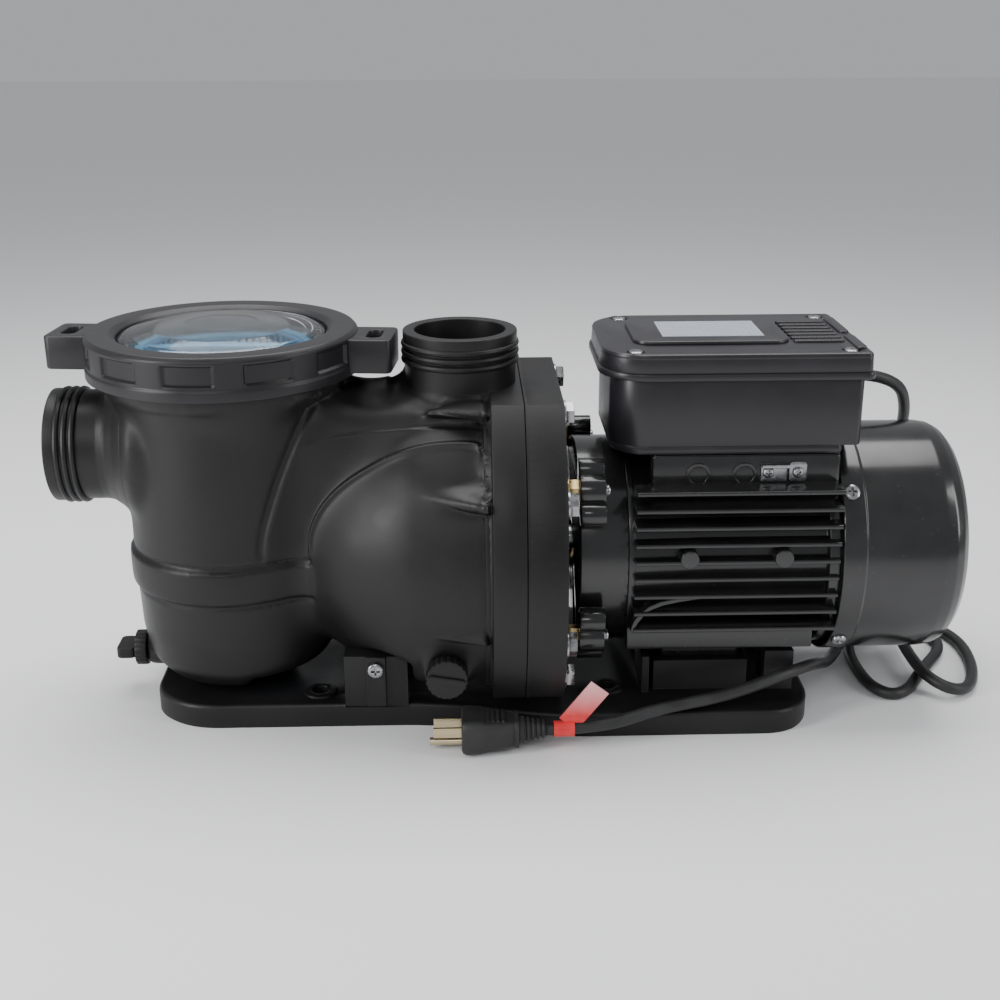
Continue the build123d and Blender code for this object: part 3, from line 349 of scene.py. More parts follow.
def inset(loop, amount):
    """A closed outline moved towards its left by this much."""
    points = np.array(loop, float)
    before = points - np.roll(points, 1, axis=0)
    after = np.roll(points, -1, axis=0) - points
    before /= np.linalg.norm(before, axis=1)[:, None]
    after /= np.linalg.norm(after, axis=1)[:, None]
    lean = np.stack([-(before + after)[:, 1], (before + after)[:, 0]], axis=1)
    size = np.linalg.norm(lean, axis=1)[:, None]
    lean /= size
    reach = np.clip(1 / np.maximum((size / 2), 0.35), 1, 2)
    return points + lean * amount * reach


def plate(loops, low, high, edge=0.8, face="Z", draft=0.0):
    """A flat piece with rounded rims, cut to outlines in mm: the first is its edge,
    the rest are holes. face is the axis it faces; draft leans its sides in."""
    verts, faces, rims = [], [], []
    rise = [(edge, 0), (edge * 0.3, edge * 0.3), (0, edge)]
    levels = [(i, low + h) for i, h in rise] + [(draft + i, high - h) for i, h in rise[::-1]]
    for n, loop in enumerate(loops):
        points = np.array(loop, float)
        turn = np.roll(points, -1, axis=0)
        area = np.sum(points[:, 0] * turn[:, 1] - turn[:, 0] * points[:, 1])
        if (area > 0) != (n == 0):
            points = points[::-1]
        count = len(points)
        first = len(verts)
        for amount, height in levels:
            for u, v in inset(points, amount):
                verts.append((u, v, height))
        for k in range(len(levels) - 1):
            for j in range(count):
                m = (j + 1) % count
                a = first + k * count
                faces.append((a + j, a + m, a + count + m, a + count + j))
        rims.append((first, count, first + (len(levels) - 1) * count))
    mesh = bpy.data.meshes.new("plate")
    mesh.from_pydata(verts, [], faces)
    work = bmesh.new()
    work.from_mesh(mesh)
    work.verts.ensure_lookup_table()
    for top in (False, True):
        ring_edges = []
        for first, count, last in rims:
            start = last if top else first
            for j in range(count):
                pair = (work.verts[start + j], work.verts[start + (j + 1) % count])
                ring_edges.append(work.edges.get(pair))
        bmesh.ops.triangle_fill(work, use_beauty=True, edges=ring_edges,
                                normal=(0, 0, 1 if top else -1))
    bmesh.ops.recalc_face_normals(work, faces=work.faces)
    for vert in work.verts:
        u, v, w = vert.co
        spot = {"Z": (u, v, w), "X": (w, u, v), "Y": (u, -w, v)}[face]
        vert.co = Vector(spot) * MM
    work.to_mesh(mesh)
    work.free()
    return smooth(mesh)


def circle(u, v, r, steps=32):
    """A round outline."""
    return [(u + r * math.cos(2 * math.pi * k / steps), v + r * math.sin(2 * math.pi * k / steps))
            for k in range(steps)]


def rounded_box(u0, u1, v0, v1, corner, steps=6):
    """A box outline with rounded corners, counter-clockwise."""
    made = []
    for cu, cv, start in ((u1 - corner, v0 + corner, -90), (u1 - corner, v1 - corner, 0),
                          (u0 + corner, v1 - corner, 90), (u0 + corner, v0 + corner, 180)):
        for k in range(steps + 1):
            a = math.radians(start + 90 * k / steps)
            made.append((cu + corner * math.cos(a), cv + corner * math.sin(a)))
    return made


def lofted(sections):
    """A closed skin through outlines of equal count; each is (x, [(y, z), ...]) in mm."""
    verts, faces = [], []
    count = len(sections[0][1])
    for x, loop in sections:
        verts += [tuple(Vector((x, y, z)) * MM) for y, z in loop]
    for k in range(len(sections) - 1):
        for j in range(count):
            m = (j + 1) % count
            a = k * count
            faces.append((a + j, a + m, a + count + m, a + count + j))
    faces.append(tuple(range(count))[::-1])
    faces.append(tuple(range((len(sections) - 1) * count, len(sections) * count)))
    mesh = bpy.data.meshes.new("lofted")
    mesh.from_pydata(verts, [], faces)
    return tidy(mesh, 40)


plug_rubber = finish("plug_rubber", (0.014, 0.014, 0.014), (0.026, 0.026, 0.027), (0.5, 0.62),
                     grain_size=1600, patches=40, bump=0.3, dust=0.04)
plug_shape = []
for x, half_y, half_z in ((-2, 12.5, 9.6), (-1.2, 14.2, 11.2), (1, 15, 12), (10, 14.6, 11.6),
                          (13, 13.2, 10.2), (22, 12.2, 9.6), (26, 11.2, 9.3), (31, 9.6, 8.8),
                          (32.4, 11, 9.5), (33.6, 11, 9.5), (34, 10.2, 9)):
    plug_shape.append((x, rounded_box(PLUG_Y - half_y, PLUG_Y + half_y, PLUG_Z - half_z,
                                      PLUG_Z + half_z, min(half_y, half_z) * 0.55)))
plug_skin = lofted(plug_shape)
grips = [plate([rounded_box(13.5 + 3.2 * k, 15.3 + 3.2 * k, PLUG_Y - 8, PLUG_Y + 8, 0.8)],
               PLUG_Z + 8.6, PLUG_Z + 10.6, edge=0.5) for k in range(4)]
plug = piece("plug_moulding", joined(plug_skin, *grips))
dress(plug, plug_rubber, "frame", "cord_rubber", "plug_body")

relief_profile = [(0, 34), (8.4, 34), (8.4, 35.5)]
for k in range(5):
    x, r = 35.5 + 3.2 * k, 8.3 - 0.62 * k
    relief_profile += [(r, x + 0.3), (r, x + 1.7), (r - 1.5, x + 2.0), (r - 1.6, x + 2.9)]
relief_profile += [(5.3, 51.5), (4.6, 51.9), (0, 51.9)]
strain = piece("plug_strain_relief", turned(relief_profile, (0, PLUG_Y, PLUG_Z), "X", 0.3, 48))
dress(strain, plug_rubber, "frame", "cord_rubber", "strain_relief")

blade_brass = finish("blade_brass", (0.62, 0.5, 0.3), (0.74, 0.64, 0.45), (0.2, 0.34),
                     grain_size=600, patches=80, bump=0.05, stretch=(0.1, 1, 1), metal=1.0)
recoat("plug_prongs", blade_brass)

# ------------------------------------------------------------------ cord tag
# A strip of red vinyl folded round the cord and stuck to itself, its two tails apart.
tag_vinyl = finish("tag_vinyl", (0.62, 0.02, 0.025), (0.78, 0.05, 0.05), (0.28, 0.42),
                   grain_size=500, patches=70, bump=0.25, depth=0.0003)
tag_tree = tag_vinyl.node_tree
tag_shader = tag_tree.nodes["Principled BSDF"]
# Painted highlight: the tag's red is painted paler, towards pink-white, from 22 mm to 50 mm above
# the floor, standing in for the overhead light falling on its top.
tag_where = tag_tree.nodes.new("ShaderNodeTexCoord")
tag_height = tag_tree.nodes.new("ShaderNodeSeparateXYZ")
tag_highlight_ramp = tag_tree.nodes.new("ShaderNodeMapRange")
tag_highlight_ramp.inputs["From Min"].default_value = 0.022
tag_highlight_ramp.inputs["From Max"].default_value = 0.05
tag_highlight_mix = tag_tree.nodes.new("ShaderNodeMix")
tag_highlight_mix.data_type = "RGBA"
tag_highlight_mix.inputs["B"].default_value = (0.85, 0.55, 0.55, 1)
tag_red = tag_shader.inputs["Base Color"].links[0].from_socket
wires(tag_tree.links.new, (tag_where, "Object", tag_height, "Vector"),
      (tag_height, "Z", tag_highlight_ramp, "Value"), (tag_highlight_ramp, "Result", tag_highlight_mix, "Factor"))
tag_tree.links.new(tag_red, tag_highlight_mix.inputs["A"])
tag_tree.links.new(tag_highlight_mix.outputs["Result"], tag_shader.inputs["Base Color"])
recoat("cord_tag", tag_vinyl)

# ------------------------------------------------------------------ base plate
# Moulded black base, open below: a rolled rim, two posts that clasp the pump's foot,
# a hollow pedestal for the motor and four bolt holes in raised bosses.
black_moulding = finish("black_moulding", (0.0062, 0.006, 0.0062), (0.0105, 0.0102, 0.0108),
                        (0.38, 0.52), grain_size=1500, patches=16, bump=0.22, depth=0.00008,
                        dust=0.05, shine=0.34)


def softened(node, name, edge, angle=35, steps=2, flat=1.2):
    """A copy of a CAD piece, its facets merged and its edges rounded as moulded."""
    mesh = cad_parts[node].data.copy()
    work = bmesh.new()
    work.from_mesh(mesh)
    bmesh.ops.remove_doubles(work, verts=work.verts, dist=2e-6)
    bmesh.ops.dissolve_limit(work, angle_limit=math.radians(flat), verts=work.verts,
                             edges=work.edges)
    work.to_mesh(mesh)
    work.free()
    draft = bpy.data.objects.new("draft", mesh)
    bpy.context.collection.objects.link(draft)
    rim = draft.modifiers.new("rim", "BEVEL")
    rim.width = edge * MM
    rim.segments = steps
    rim.limit_method = "ANGLE"
    rim.angle_limit = math.radians(angle)
    rim.use_clamp_overlap = False
    made = bpy.data.meshes.new_from_object(
        draft.evaluated_get(bpy.context.evaluated_depsgraph_get()))
    bpy.data.objects.remove(draft)
    made.materials.clear()
    return piece(name, smooth(made, 30))


base = softened("base_plate", "base_moulding", 0.7)
dress(base, black_moulding, "frame", "black_plastic", "base_plate")

# ------------------------------------------------------------------ pump casting
# One glass-filled moulding: strainer pot, volute and outlet shoulder run into each
# other through wide fillets. A raised lip sweeps over the volute and a band rounds the pot.
SHAFT_Z = 105
POT_X = -150.5
# lines on the front and back faces, as (along, height)
SHOULDER = [(-124.4, 112), (-123.2, 129.3), (-117.1, 149.1), (-111.2, 166), (-103.5, 183.9),
            (-93.4, 204.7), (-87.7, 211.5), (-79, 226)]
CREASE = [(-101, 186.8), (-74.3, 191.5), (-25.1, 196), (14, 196.2)]
GUSSETS = [((-23, 208), (14, 210), 7), ((-26, 164), (14, 163), 9.5), ((-21, 77.3), (14, 77.3), 4)]
LIP = [(-96, 118), (-96, 131), (-88, 148), (-74, 162.6), (-57, 173.7), (-41.6, 181.6),
       (-24.3, 187.5), (-6, 190), (14, 190)]


def ramp(value, low, high):
    """0 below low, 1 above high, smooth between."""
    t = np.clip((value - low) / (high - low), 0, 1)
    return t * t * (3 - 2 * t)


def away_from(line, u, v):
    """Distance to an open line, and which side a point is on (positive below it)."""
    best = np.full(len(u), 1e9)
    side = np.zeros(len(u))
    for (a, b), (c, d) in zip(line, line[1:]):
        run_u, run_v = c - a, d - b
        t = np.clip(((u - a) * run_u + (v - b) * run_v) / (run_u ** 2 + run_v ** 2), 0, 1)
        gap = np.hypot(u - a - t * run_u, v - b - t * run_v)
        near = gap < best
        best[near] = gap[near]
        side[near] = ((v - b) * run_u - (u - a) * run_v)[near]
    return best * np.where(side > 0, -1, 1)


def rounded_line(points, rounds=3):
    """The line with its corners cut again and again."""
    for _ in range(rounds):
        cut = [points[0]]
        for (a, b), (c, d) in zip(points, points[1:]):
            cut += [(0.75 * a + 0.25 * c, 0.75 * b + 0.25 * d),
                    (0.25 * a + 0.75 * c, 0.25 * b + 0.75 * d)]
        points = cut + [points[-1]]
    return points


def outside(at, normal):
    """1 on the casting's outer faces, 0 in its hollows."""
    pot = np.hypot(at[:, 0] - POT_X, at[:, 1])
    shaft = np.hypot(at[:, 1], at[:, 2] - SHAFT_Z)
    out_pot = ((at[:, 0] - POT_X) * normal[:, 0] + at[:, 1] * normal[:, 1]) > 0
    out_dome = (at[:, 1] * normal[:, 1] + (at[:, 2] - SHAFT_Z) * normal[:, 2]
                - 0.3 * (at[:, 0] + 60) * normal[:, 0]) > -5
    on_pot = at[:, 0] < -100
    return np.where(on_pot, out_pot & (pot > 62), out_dome & (shaft > 40) & (pot > 63))


def casting_relief(at, normal):
    """How far the moulded lines stand proud of the casting, in mm."""
    x, y, z = at.T
    skin = outside(at, normal)
    side_face = ramp(np.abs(y), 20, 34)
    gap = away_from(rounded_line(LIP), x, z)
    lip = 2.4 * ramp(gap, -1.0, 1.4) * np.exp(-np.maximum(gap, 0) / 26)
    lip = lip + 1.3 * np.exp(-((gap - 1.8) / 1.5) ** 2)
    rise = lip * side_face * ramp(x, -110, -96) * (x < 16) * ramp(z, 96, 128)
    edge = away_from(rounded_line(SHOULDER), x, z)
    shoulder = 2.2 * ramp(edge, -1.0, 1.4) * np.exp(-np.maximum(edge, 0) / 16)
    shoulder -= 1.2 * np.exp(-((edge + 2.6) / 2.2) ** 2)
    rise = rise + shoulder * ramp(np.abs(y), 34, 46) * ramp(z, 110, 122) * ramp(-z, -227, -215)
    fold = away_from(rounded_line(CREASE), x, z)
    rise = rise + (1.1 * ramp(fold, -0.8, 1.2) * np.exp(-np.maximum(fold, 0) / 12)
                   * side_face * ramp(x, -102, -90) * (x < 16))
    band = ramp(z, 86.4, 88.2) * ramp(z, 109.6, 107.8) * ramp(x, -94, -97)
    rise = rise + 1.3 * band
    groove = np.exp(-((z - 111.6) / 1.3) ** 2) + np.exp(-((z - 84.4) / 1.3) ** 2)
    rise = rise - 1.2 * groove * ramp(x, -93, -97)
    return rise * skin


def gusset_rise(at):
    """How far the tapering gussets reach out sideways from the casting, in mm."""
    x, y, z = at.T
    rise = np.zeros(len(x))
    for (tip, tip_z), (root, root_z), half in GUSSETS:
        along = np.clip((x - tip) / (root - tip), 0, 1)
        off = (z - tip_z - (root_z - tip_z) * along) / (1.5 + half * along)
        hump = np.where(off > 0, ramp(-off, -1.15, 0.1), ramp(off, -0.75, -0.4))
        rise = rise + 6.5 * along ** 1.5 * hump * ramp(np.abs(y), 34, 46) * (x < 16)
    return rise


def as_arrays(mesh):
    """Vertex places in mm, outward normals and edge pairs of a mesh."""
    places = np.empty(len(mesh.vertices) * 3)
    mesh.vertices.foreach_get("co", places)
    normals = np.empty(len(mesh.vertices) * 3)
    mesh.vertices.foreach_get("normal", normals)
    pairs = np.empty(len(mesh.edges) * 2, int)
    mesh.edges.foreach_get("vertices", pairs)
    return places.reshape(-1, 3) / MM, normals.reshape(-1, 3), pairs.reshape(-1, 2)


def relaxed(places, pairs, share, rounds):
    """Each vertex moved towards its neighbours, by its own share, several times."""
    count = np.bincount(pairs.ravel(), minlength=len(places))[:, None]
    for _ in range(rounds):
        total = np.zeros_like(places)
        np.add.at(total, pairs[:, 0], places[pairs[:, 1]])
        np.add.at(total, pairs[:, 1], places[pairs[:, 0]])
        places = places + share[:, None] * (total / np.maximum(count, 1) - places)
    return places


def cast_body():
    """The CAD casting blended into one skin, with its raised lines."""
    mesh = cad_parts["pump_body"].data.copy()
    work = bmesh.new()
    work.from_mesh(mesh)
    bmesh.ops.remove_doubles(work, verts=work.verts, dist=2e-6)
    work.to_mesh(mesh)
    work.free()
    draft = bpy.data.objects.new("draft", mesh)
    bpy.context.collection.objects.link(draft)
    skin = draft.modifiers.new("skin", "REMESH")
    skin.mode = "VOXEL"
    skin.voxel_size = 2.5 * MM
    skin.adaptivity = 0
    made = bpy.data.meshes.new_from_object(
        draft.evaluated_get(bpy.context.evaluated_depsgraph_get()))
    bpy.data.objects.remove(draft)
    places, normals, pairs = as_arrays(made)
    x, y, z = places.T
    skin = outside(places, normals)
    waist = ramp(x, -150, -120) * ramp(x, -30, -62) * ramp(z, 36, 60) * skin
    crisp = 1 - 0.9 * ramp(x, 4, 12)
    places = relaxed(places, pairs, 0.5 * crisp, 7)
    places = relaxed(places, pairs, 0.5 * waist, 130)
    flank = ramp(x, -34, -22) * ramp(-x, -13, -11) * ramp(np.abs(y), 30, 42) * skin
    places = relaxed(places, pairs, 0.5 * flank, 14)
    made.vertices.foreach_set("co", (places * MM).ravel())
    work = bmesh.new()
    work.from_mesh(made)
    line = rounded_line(LIP)
    spots = np.array([v.co for v in work.verts]) / MM
    near = ((np.abs(away_from(line, spots[:, 0], spots[:, 2])) < 5)
            & (np.abs(spots[:, 1]) > 22) & (spots[:, 0] < 16))
    near |= (((np.abs(spots[:, 2] - 110) < 5) | (np.abs(spots[:, 2] - 86) < 5))
             & (spots[:, 0] < -90))
    near |= ((np.abs(away_from(rounded_line(SHOULDER), spots[:, 0], spots[:, 2])) < 5)
             & (np.abs(spots[:, 1]) > 30))
    near |= ((np.abs(away_from(rounded_line(CREASE), spots[:, 0], spots[:, 2])) < 4)
             & (np.abs(spots[:, 1]) > 22) & (spots[:, 0] < 16))
    for (tip, tip_z), (root, root_z), half in GUSSETS:
        near |= ((spots[:, 0] > tip - 3) & (spots[:, 0] < 15)
                 & (np.abs(spots[:, 2] - (tip_z + root_z) / 2) < half + 4)
                 & (np.abs(spots[:, 1]) > 34))
    work.verts.ensure_lookup_table()
    edges = [e for e in work.edges if near[e.verts[0].index] and near[e.verts[1].index]]
    bmesh.ops.subdivide_edges(work, edges=edges, cuts=1, use_grid_fill=True)
    work.normal_update()
    work.to_mesh(made)
    work.free()
    places, normals, pairs = as_arrays(made)
    places = relaxed(places, pairs, np.full(len(places), 0.3), 2)
    x, y, z = places.T
    rise = casting_relief(places, normals)
    # the crisp flange and port collars below cover these parts
    rise = rise - 1.3 * ramp(x, 12.5, 14.5)
    rise = rise - 1.3 * ramp(z, 212, 216) * (np.hypot(x, y) < 45)
    rise = rise - 1.3 * ramp(-x, 225, 229) * (np.hypot(y, z - 174) < 50)
    places = places + normals * rise[:, None]
    out = gusset_rise(places) * outside(places, normals)
    places[:, 1] += np.sign(places[:, 1]) * out * 0.85
    places[:, 2] += out * 0.5 * ramp(z, 190, 200)
    made.vertices.foreach_set("co", (places * MM).ravel())
    made.materials.clear()
    made.update()
    return smooth(made, 60)


casting = piece("pump_casting", cast_body())
dress(casting, black_moulding, "frame", "black_plastic", "pump_body")


def flange_outline(inset_by=0.0, steps=48):
    """The pump flange seen along the shaft, as (across, height) in mm."""
    half, top = 114 - inset_by, 109 - inset_by
    corner, foot = 60 - inset_by / 2, 76 - inset_by / 3
    rho = (top ** 2 + (half - corner) ** 2) / (2 * (half - corner))
    side = []
    for k in range(steps + 1):
        a = math.asin(top / rho) * (1 - k / steps)
        side.append((half - rho + rho * math.cos(a), rho * math.sin(a)))
    low = math.asin(foot / half)
    for k in range(1, steps + 1):
        side.append((half * math.cos(low * k / steps), -half * math.sin(low * k / steps)))
    loop = side + [(-u, v) for u, v in side[::-1]]
    return [(u, SHAFT_Z + v) for u, v in loop][::-1]


flange = piece("pump_flange", joined(
    plate([flange_outline(9), circle(0, SHAFT_Z, 70, 72)], 13.6, 20, edge=1.2, face="X"),
    plate([flange_outline(), circle(0, SHAFT_Z, 64, 72)], 18, 38.9, edge=1.5, face="X")))
dress(flange, black_moulding, "frame", "black_plastic", "pump_body")

# ------------------------------------------------------------------ port collars
# Both ports are 2 inch: a turned spout with a plain bore and three coarse union
# threads just behind the rim.


def end_tree(tree, copies, feed, out):
    """The end of each tree: the copies made real, given their finish and handed out."""
    real = tree.nodes.new("GeometryNodeRealizeInstances")
    coat = tree.nodes.new("GeometryNodeSetMaterial")
    tree.links.new(copies, real.inputs["Geometry"])
    wires(tree.links.new, (real, "Geometry", coat, "Geometry"),
          (feed, "Finish", coat, "Material"), (coat, "Geometry", out, "Mesh"))


def thread_tree():
    """Geometry Nodes: one ridge profile carried round a circle, repeated along the spout."""
    tree, feed, out = node_group(
        "union_thread",
        [("Mesh", "Geometry", None), ("Root radius", "Float", 0.0355),
         ("Ridge height", "Float", 0.0025), ("Pitch", "Float", 0.005), ("Ridges", "Int", 3),
         ("First", "Vector", (0, 0, 0)), ("Turn", "Vector", (0, 0, 0)),
         ("Finish", "Material", None)],
        [("Mesh", "Geometry")], "GeometryNodeTree")
    nodes, link = tree.nodes, tree.links.new
    hoop = nodes.new("GeometryNodeCurvePrimitiveCircle")
    hoop.inputs["Resolution"].default_value = 96
    ridge = nodes.new("GeometryNodeCurvePrimitiveCircle")
    ridge.inputs["Resolution"].default_value = 10
    swept = nodes.new("GeometryNodeCurveToMesh")
    row = nodes.new("GeometryNodeMeshLine")
    step = nodes.new("ShaderNodeCombineXYZ")
    down = maths(nodes, "MULTIPLY", -1.0)
    copies = nodes.new("GeometryNodeInstanceOnPoints")
    place = nodes.new("GeometryNodeTransform")
    wires(link, (feed, "Root radius", hoop, "Radius"), (feed, "Ridge height", ridge, "Radius"),
          (hoop, "Curve", swept, "Curve"), (ridge, "Curve", swept, "Profile Curve"),
          (feed, "Ridges", row, "Count"), (feed, "Pitch", down, 0), (down, 0, step, "Z"),
          (step, "Vector", row, "Offset"), (row, "Mesh", copies, "Points"),
          (swept, "Mesh", copies, "Instance"), (copies, "Instances", place, "Geometry"),
          (feed, "First", place, "Translation"), (feed, "Turn", place, "Rotation"))
    end_tree(tree, place.outputs["Geometry"], feed, out)
    return tree


def grown(name, tree, start=None, **values):
    """A piece that a Geometry Nodes tree makes from these inputs, as a plain mesh."""
    draft = piece(name + "_draft", start or bpy.data.meshes.new("seed"))
    maker = draft.modifiers.new("maker", "NODES")
    maker.node_group = tree
    sockets = {s.name: s.identifier for s in tree.interface.items_tree
               if s.in_out == "INPUT"}
    for label, value in values.items():
        maker[sockets[label.replace("_", " ")]] = value
    made = bpy.data.meshes.new_from_object(
        draft.evaluated_get(bpy.context.evaluated_depsgraph_get()))
    bpy.data.objects.remove(draft)
    work = bmesh.new()
    work.from_mesh(made)
    bmesh.ops.recalc_face_normals(work, faces=work.faces)
    work.to_mesh(made)
    work.free()
    return piece(name, smooth(made))


union_thread = thread_tree()
outlet_profile = [(29, 190), (29, 248), (36.5, 248), (36.5, 241.4), (35.5, 241), (35.5, 214),
                  (36.6, 209), (39.5, 203), (40, 199), (34, 196), (34, 190)]
outlet = piece("outlet_collar", turned(outlet_profile, (0, 0, 0), "Z", 0.9, 120, closed=True))
dress(outlet, black_moulding, "frame", "black_plastic", "pump_body")
inlet_profile = [(29, -214), (29, -262), (36.5, -262), (36.5, -255.4), (35.5, -255),
                 (35.5, -229), (36.6, -224), (41, -217.5), (47, -211), (44, -208), (34, -214)]
inlet = piece("inlet_collar", turned(inlet_profile, (0, 0, 174), "X", 0.9, 120, closed=True))
dress(inlet, black_moulding, "frame", "black_plastic", "pump_body")
for label, first, turn in (("outlet_thread", (0, 0, 0.2396), (0, 0, 0)),
                           ("inlet_thread", (-0.2536, 0, 0.174), (0, math.radians(-90), 0))):
    ridges = grown(label, union_thread, Root_radius=0.0356, Ridge_height=0.0022, First=first,
                   Turn=turn, Finish=black_moulding)
    fit(ridges, "frame", "black_plastic", "pump_body")

# ------------------------------------------------------------------ clear lid
# A thick clear domed lid, seated on a rubber ring inside the lock ring.
clear_plastic = bpy.data.materials.new("clear_plastic")
clear_plastic.use_nodes = True
glass = clear_plastic.node_tree.nodes["Principled BSDF"]
glass.inputs["Base Color"].default_value = (0.9, 0.95, 0.97, 1)
glass.inputs["Roughness"].default_value = 0.05
glass.inputs["IOR"].default_value = 1.49
glass.inputs["Transmission Weight"].default_value = 1.0
glass_where = clear_plastic.node_tree.nodes.new("ShaderNodeTexCoord")
haze = clear_plastic.node_tree.nodes.new("ShaderNodeTexNoise")
haze.inputs["Scale"].default_value = 30
haze.inputs["Detail"].default_value = 3
haze_level = clear_plastic.node_tree.nodes.new("ShaderNodeMapRange")
haze_level.inputs["To Min"].default_value = 0.02
haze_level.inputs["To Max"].default_value = 0.1
wires(clear_plastic.node_tree.links.new, (glass_where, "Object", haze, "Vector"),
      (haze, "Fac", haze_level, "Value"), (haze_level, "Result", glass, "Roughness"))
lid_profile = [(0, 250.8), (22, 250.2), (42, 248.4), (56, 244), (60, 240), (60, 232.4),
               (77.4, 232.4), (77.4, 243.1), (65.6, 243.1), (65.4, 246.6), (61, 248.9),
               (46, 251.4), (24, 253.4), (0, 254)]
lid = piece("lid_dome", turned(lid_profile, (POT_X, 0, 0), "Z", 1.2, 128))
dress(lid, clear_plastic, "lid", "clear_plastic", "clear_lid")

seal_rubber = finish("seal_rubber", (0.01, 0.01, 0.01), (0.018, 0.018, 0.018), (0.55, 0.7),
                     grain_size=2000, patches=60, bump=0.15)
for node in ("lid_o_ring", "front_drain_o_ring", "left_drain_o_ring", "plate_o_ring",
             "box_gasket"):
    recoat(node, seal_rubber)

# ------------------------------------------------------------------ lock ring
# A wide black ring with ten grip panels sunk in its skirt and two ears, each with a
# slot for a tool. It turns on the pot's mouth and holds the lid down.
RING_TURN = math.radians(-5.5)


def ring_skirt():
    """The ring's turned section, with the panels pressed into its outer wall."""
    profile = rounded_profile(
        [(66.1, 243.5), (78.6, 243.5), (78.6, 224), (85.9, 224), (86.3, 224.5), (86.3, 230),
         (85.5, 231.2), (85.5, 248), (83.4, 250.4), (70, 250.4), (66.1, 247.6),
         (66.1, 243.5)], 0.8)
    wall = []
    for k, (r, h) in enumerate(profile):
        wall.append((r, h))
        if k + 1 < len(profile) and profile[k + 1][1] - h > 6 and r > 85:
            for t in np.linspace(0, 1, 26)[1:-1]:
                wall.append((r + (profile[k + 1][0] - r) * t, h + (profile[k + 1][1] - h) * t))
    steps = 540
    verts, faces = [], []
    for r, h in wall:
        for k in range(steps):
            a = 2 * math.pi * k / steps
            sink = 0.0
            if r > 85.2 and 229 < h < 250:
                turn = math.degrees(a - RING_TURN) % 180
                for grip in range(5):
                    across = abs(turn - (24.6 + 32.7 * grip))
                    box = min(max((10.6 - across) / 0.9, 0), 1)
                    tall = min(max((6.6 - abs(h - 239.5)) / 1.2, 0), 1)
                    sink = max(sink, 1.9 * box * tall)
            verts.append(((POT_X + (r - sink) * math.cos(a)) * MM,
                          (r - sink) * math.sin(a) * MM, h * MM))
    for i in range(len(wall) - 1):
        for k in range(steps):
            m = (k + 1) % steps
            faces.append((i * steps + k, i * steps + m, (i + 1) * steps + m,
                          (i + 1) * steps + k))
    mesh = bpy.data.meshes.new("skirt")
    mesh.from_pydata(verts, [], faces)
    return tidy(mesh, 38)


def ring_ear(half_turn):
    """One ear: a thick tab with a chamfered corner and a tool slot."""
    tab = rounded_box(80.5, 110, -19.5, 19.5, 4)
    slot = []
    for side in (1, -1):
        for k in range(13):
            a = math.radians(90 - 90 * side + 180 * k / 12)
            slot.append((97.5 + 4.5 * math.cos(a), side * 6.5 + 4.5 * math.sin(a)))
    mesh = plate([tab, slot], 226, 247.5, edge=1.3)
    spin = Matrix.Translation(Vector((POT_X, 0, 0)) * MM) @ Matrix.Rotation(
        RING_TURN + half_turn, 4, "Z")
    mesh.transform(spin)
    return mesh


lock_ring = piece("lock_ring_moulding", joined(ring_skirt(), ring_ear(0), ring_ear(math.pi)))
satin_moulding = finish("satin_moulding", (0.0105, 0.01, 0.0115), (0.0165, 0.0158, 0.018),
                        (0.36, 0.46), grain_size=1300, patches=20, bump=0.18, depth=0.00008,
                        dust=0.05, shine=0.42)
dress(lock_ring, satin_moulding, "ring", "black_plastic", "lock_ring")

# ------------------------------------------------------------------ strainer basket
# A pale blue moulded basket: a rolled rim, sixty upright ribs tied by hoops, a floor
# pierced with round holes and a handle across the top.
basket_blue = finish("basket_blue", (0.1, 0.36, 0.62), (0.16, 0.46, 0.7), (0.3, 0.42),
                     grain_size=900, patches=30, bump=0.1)


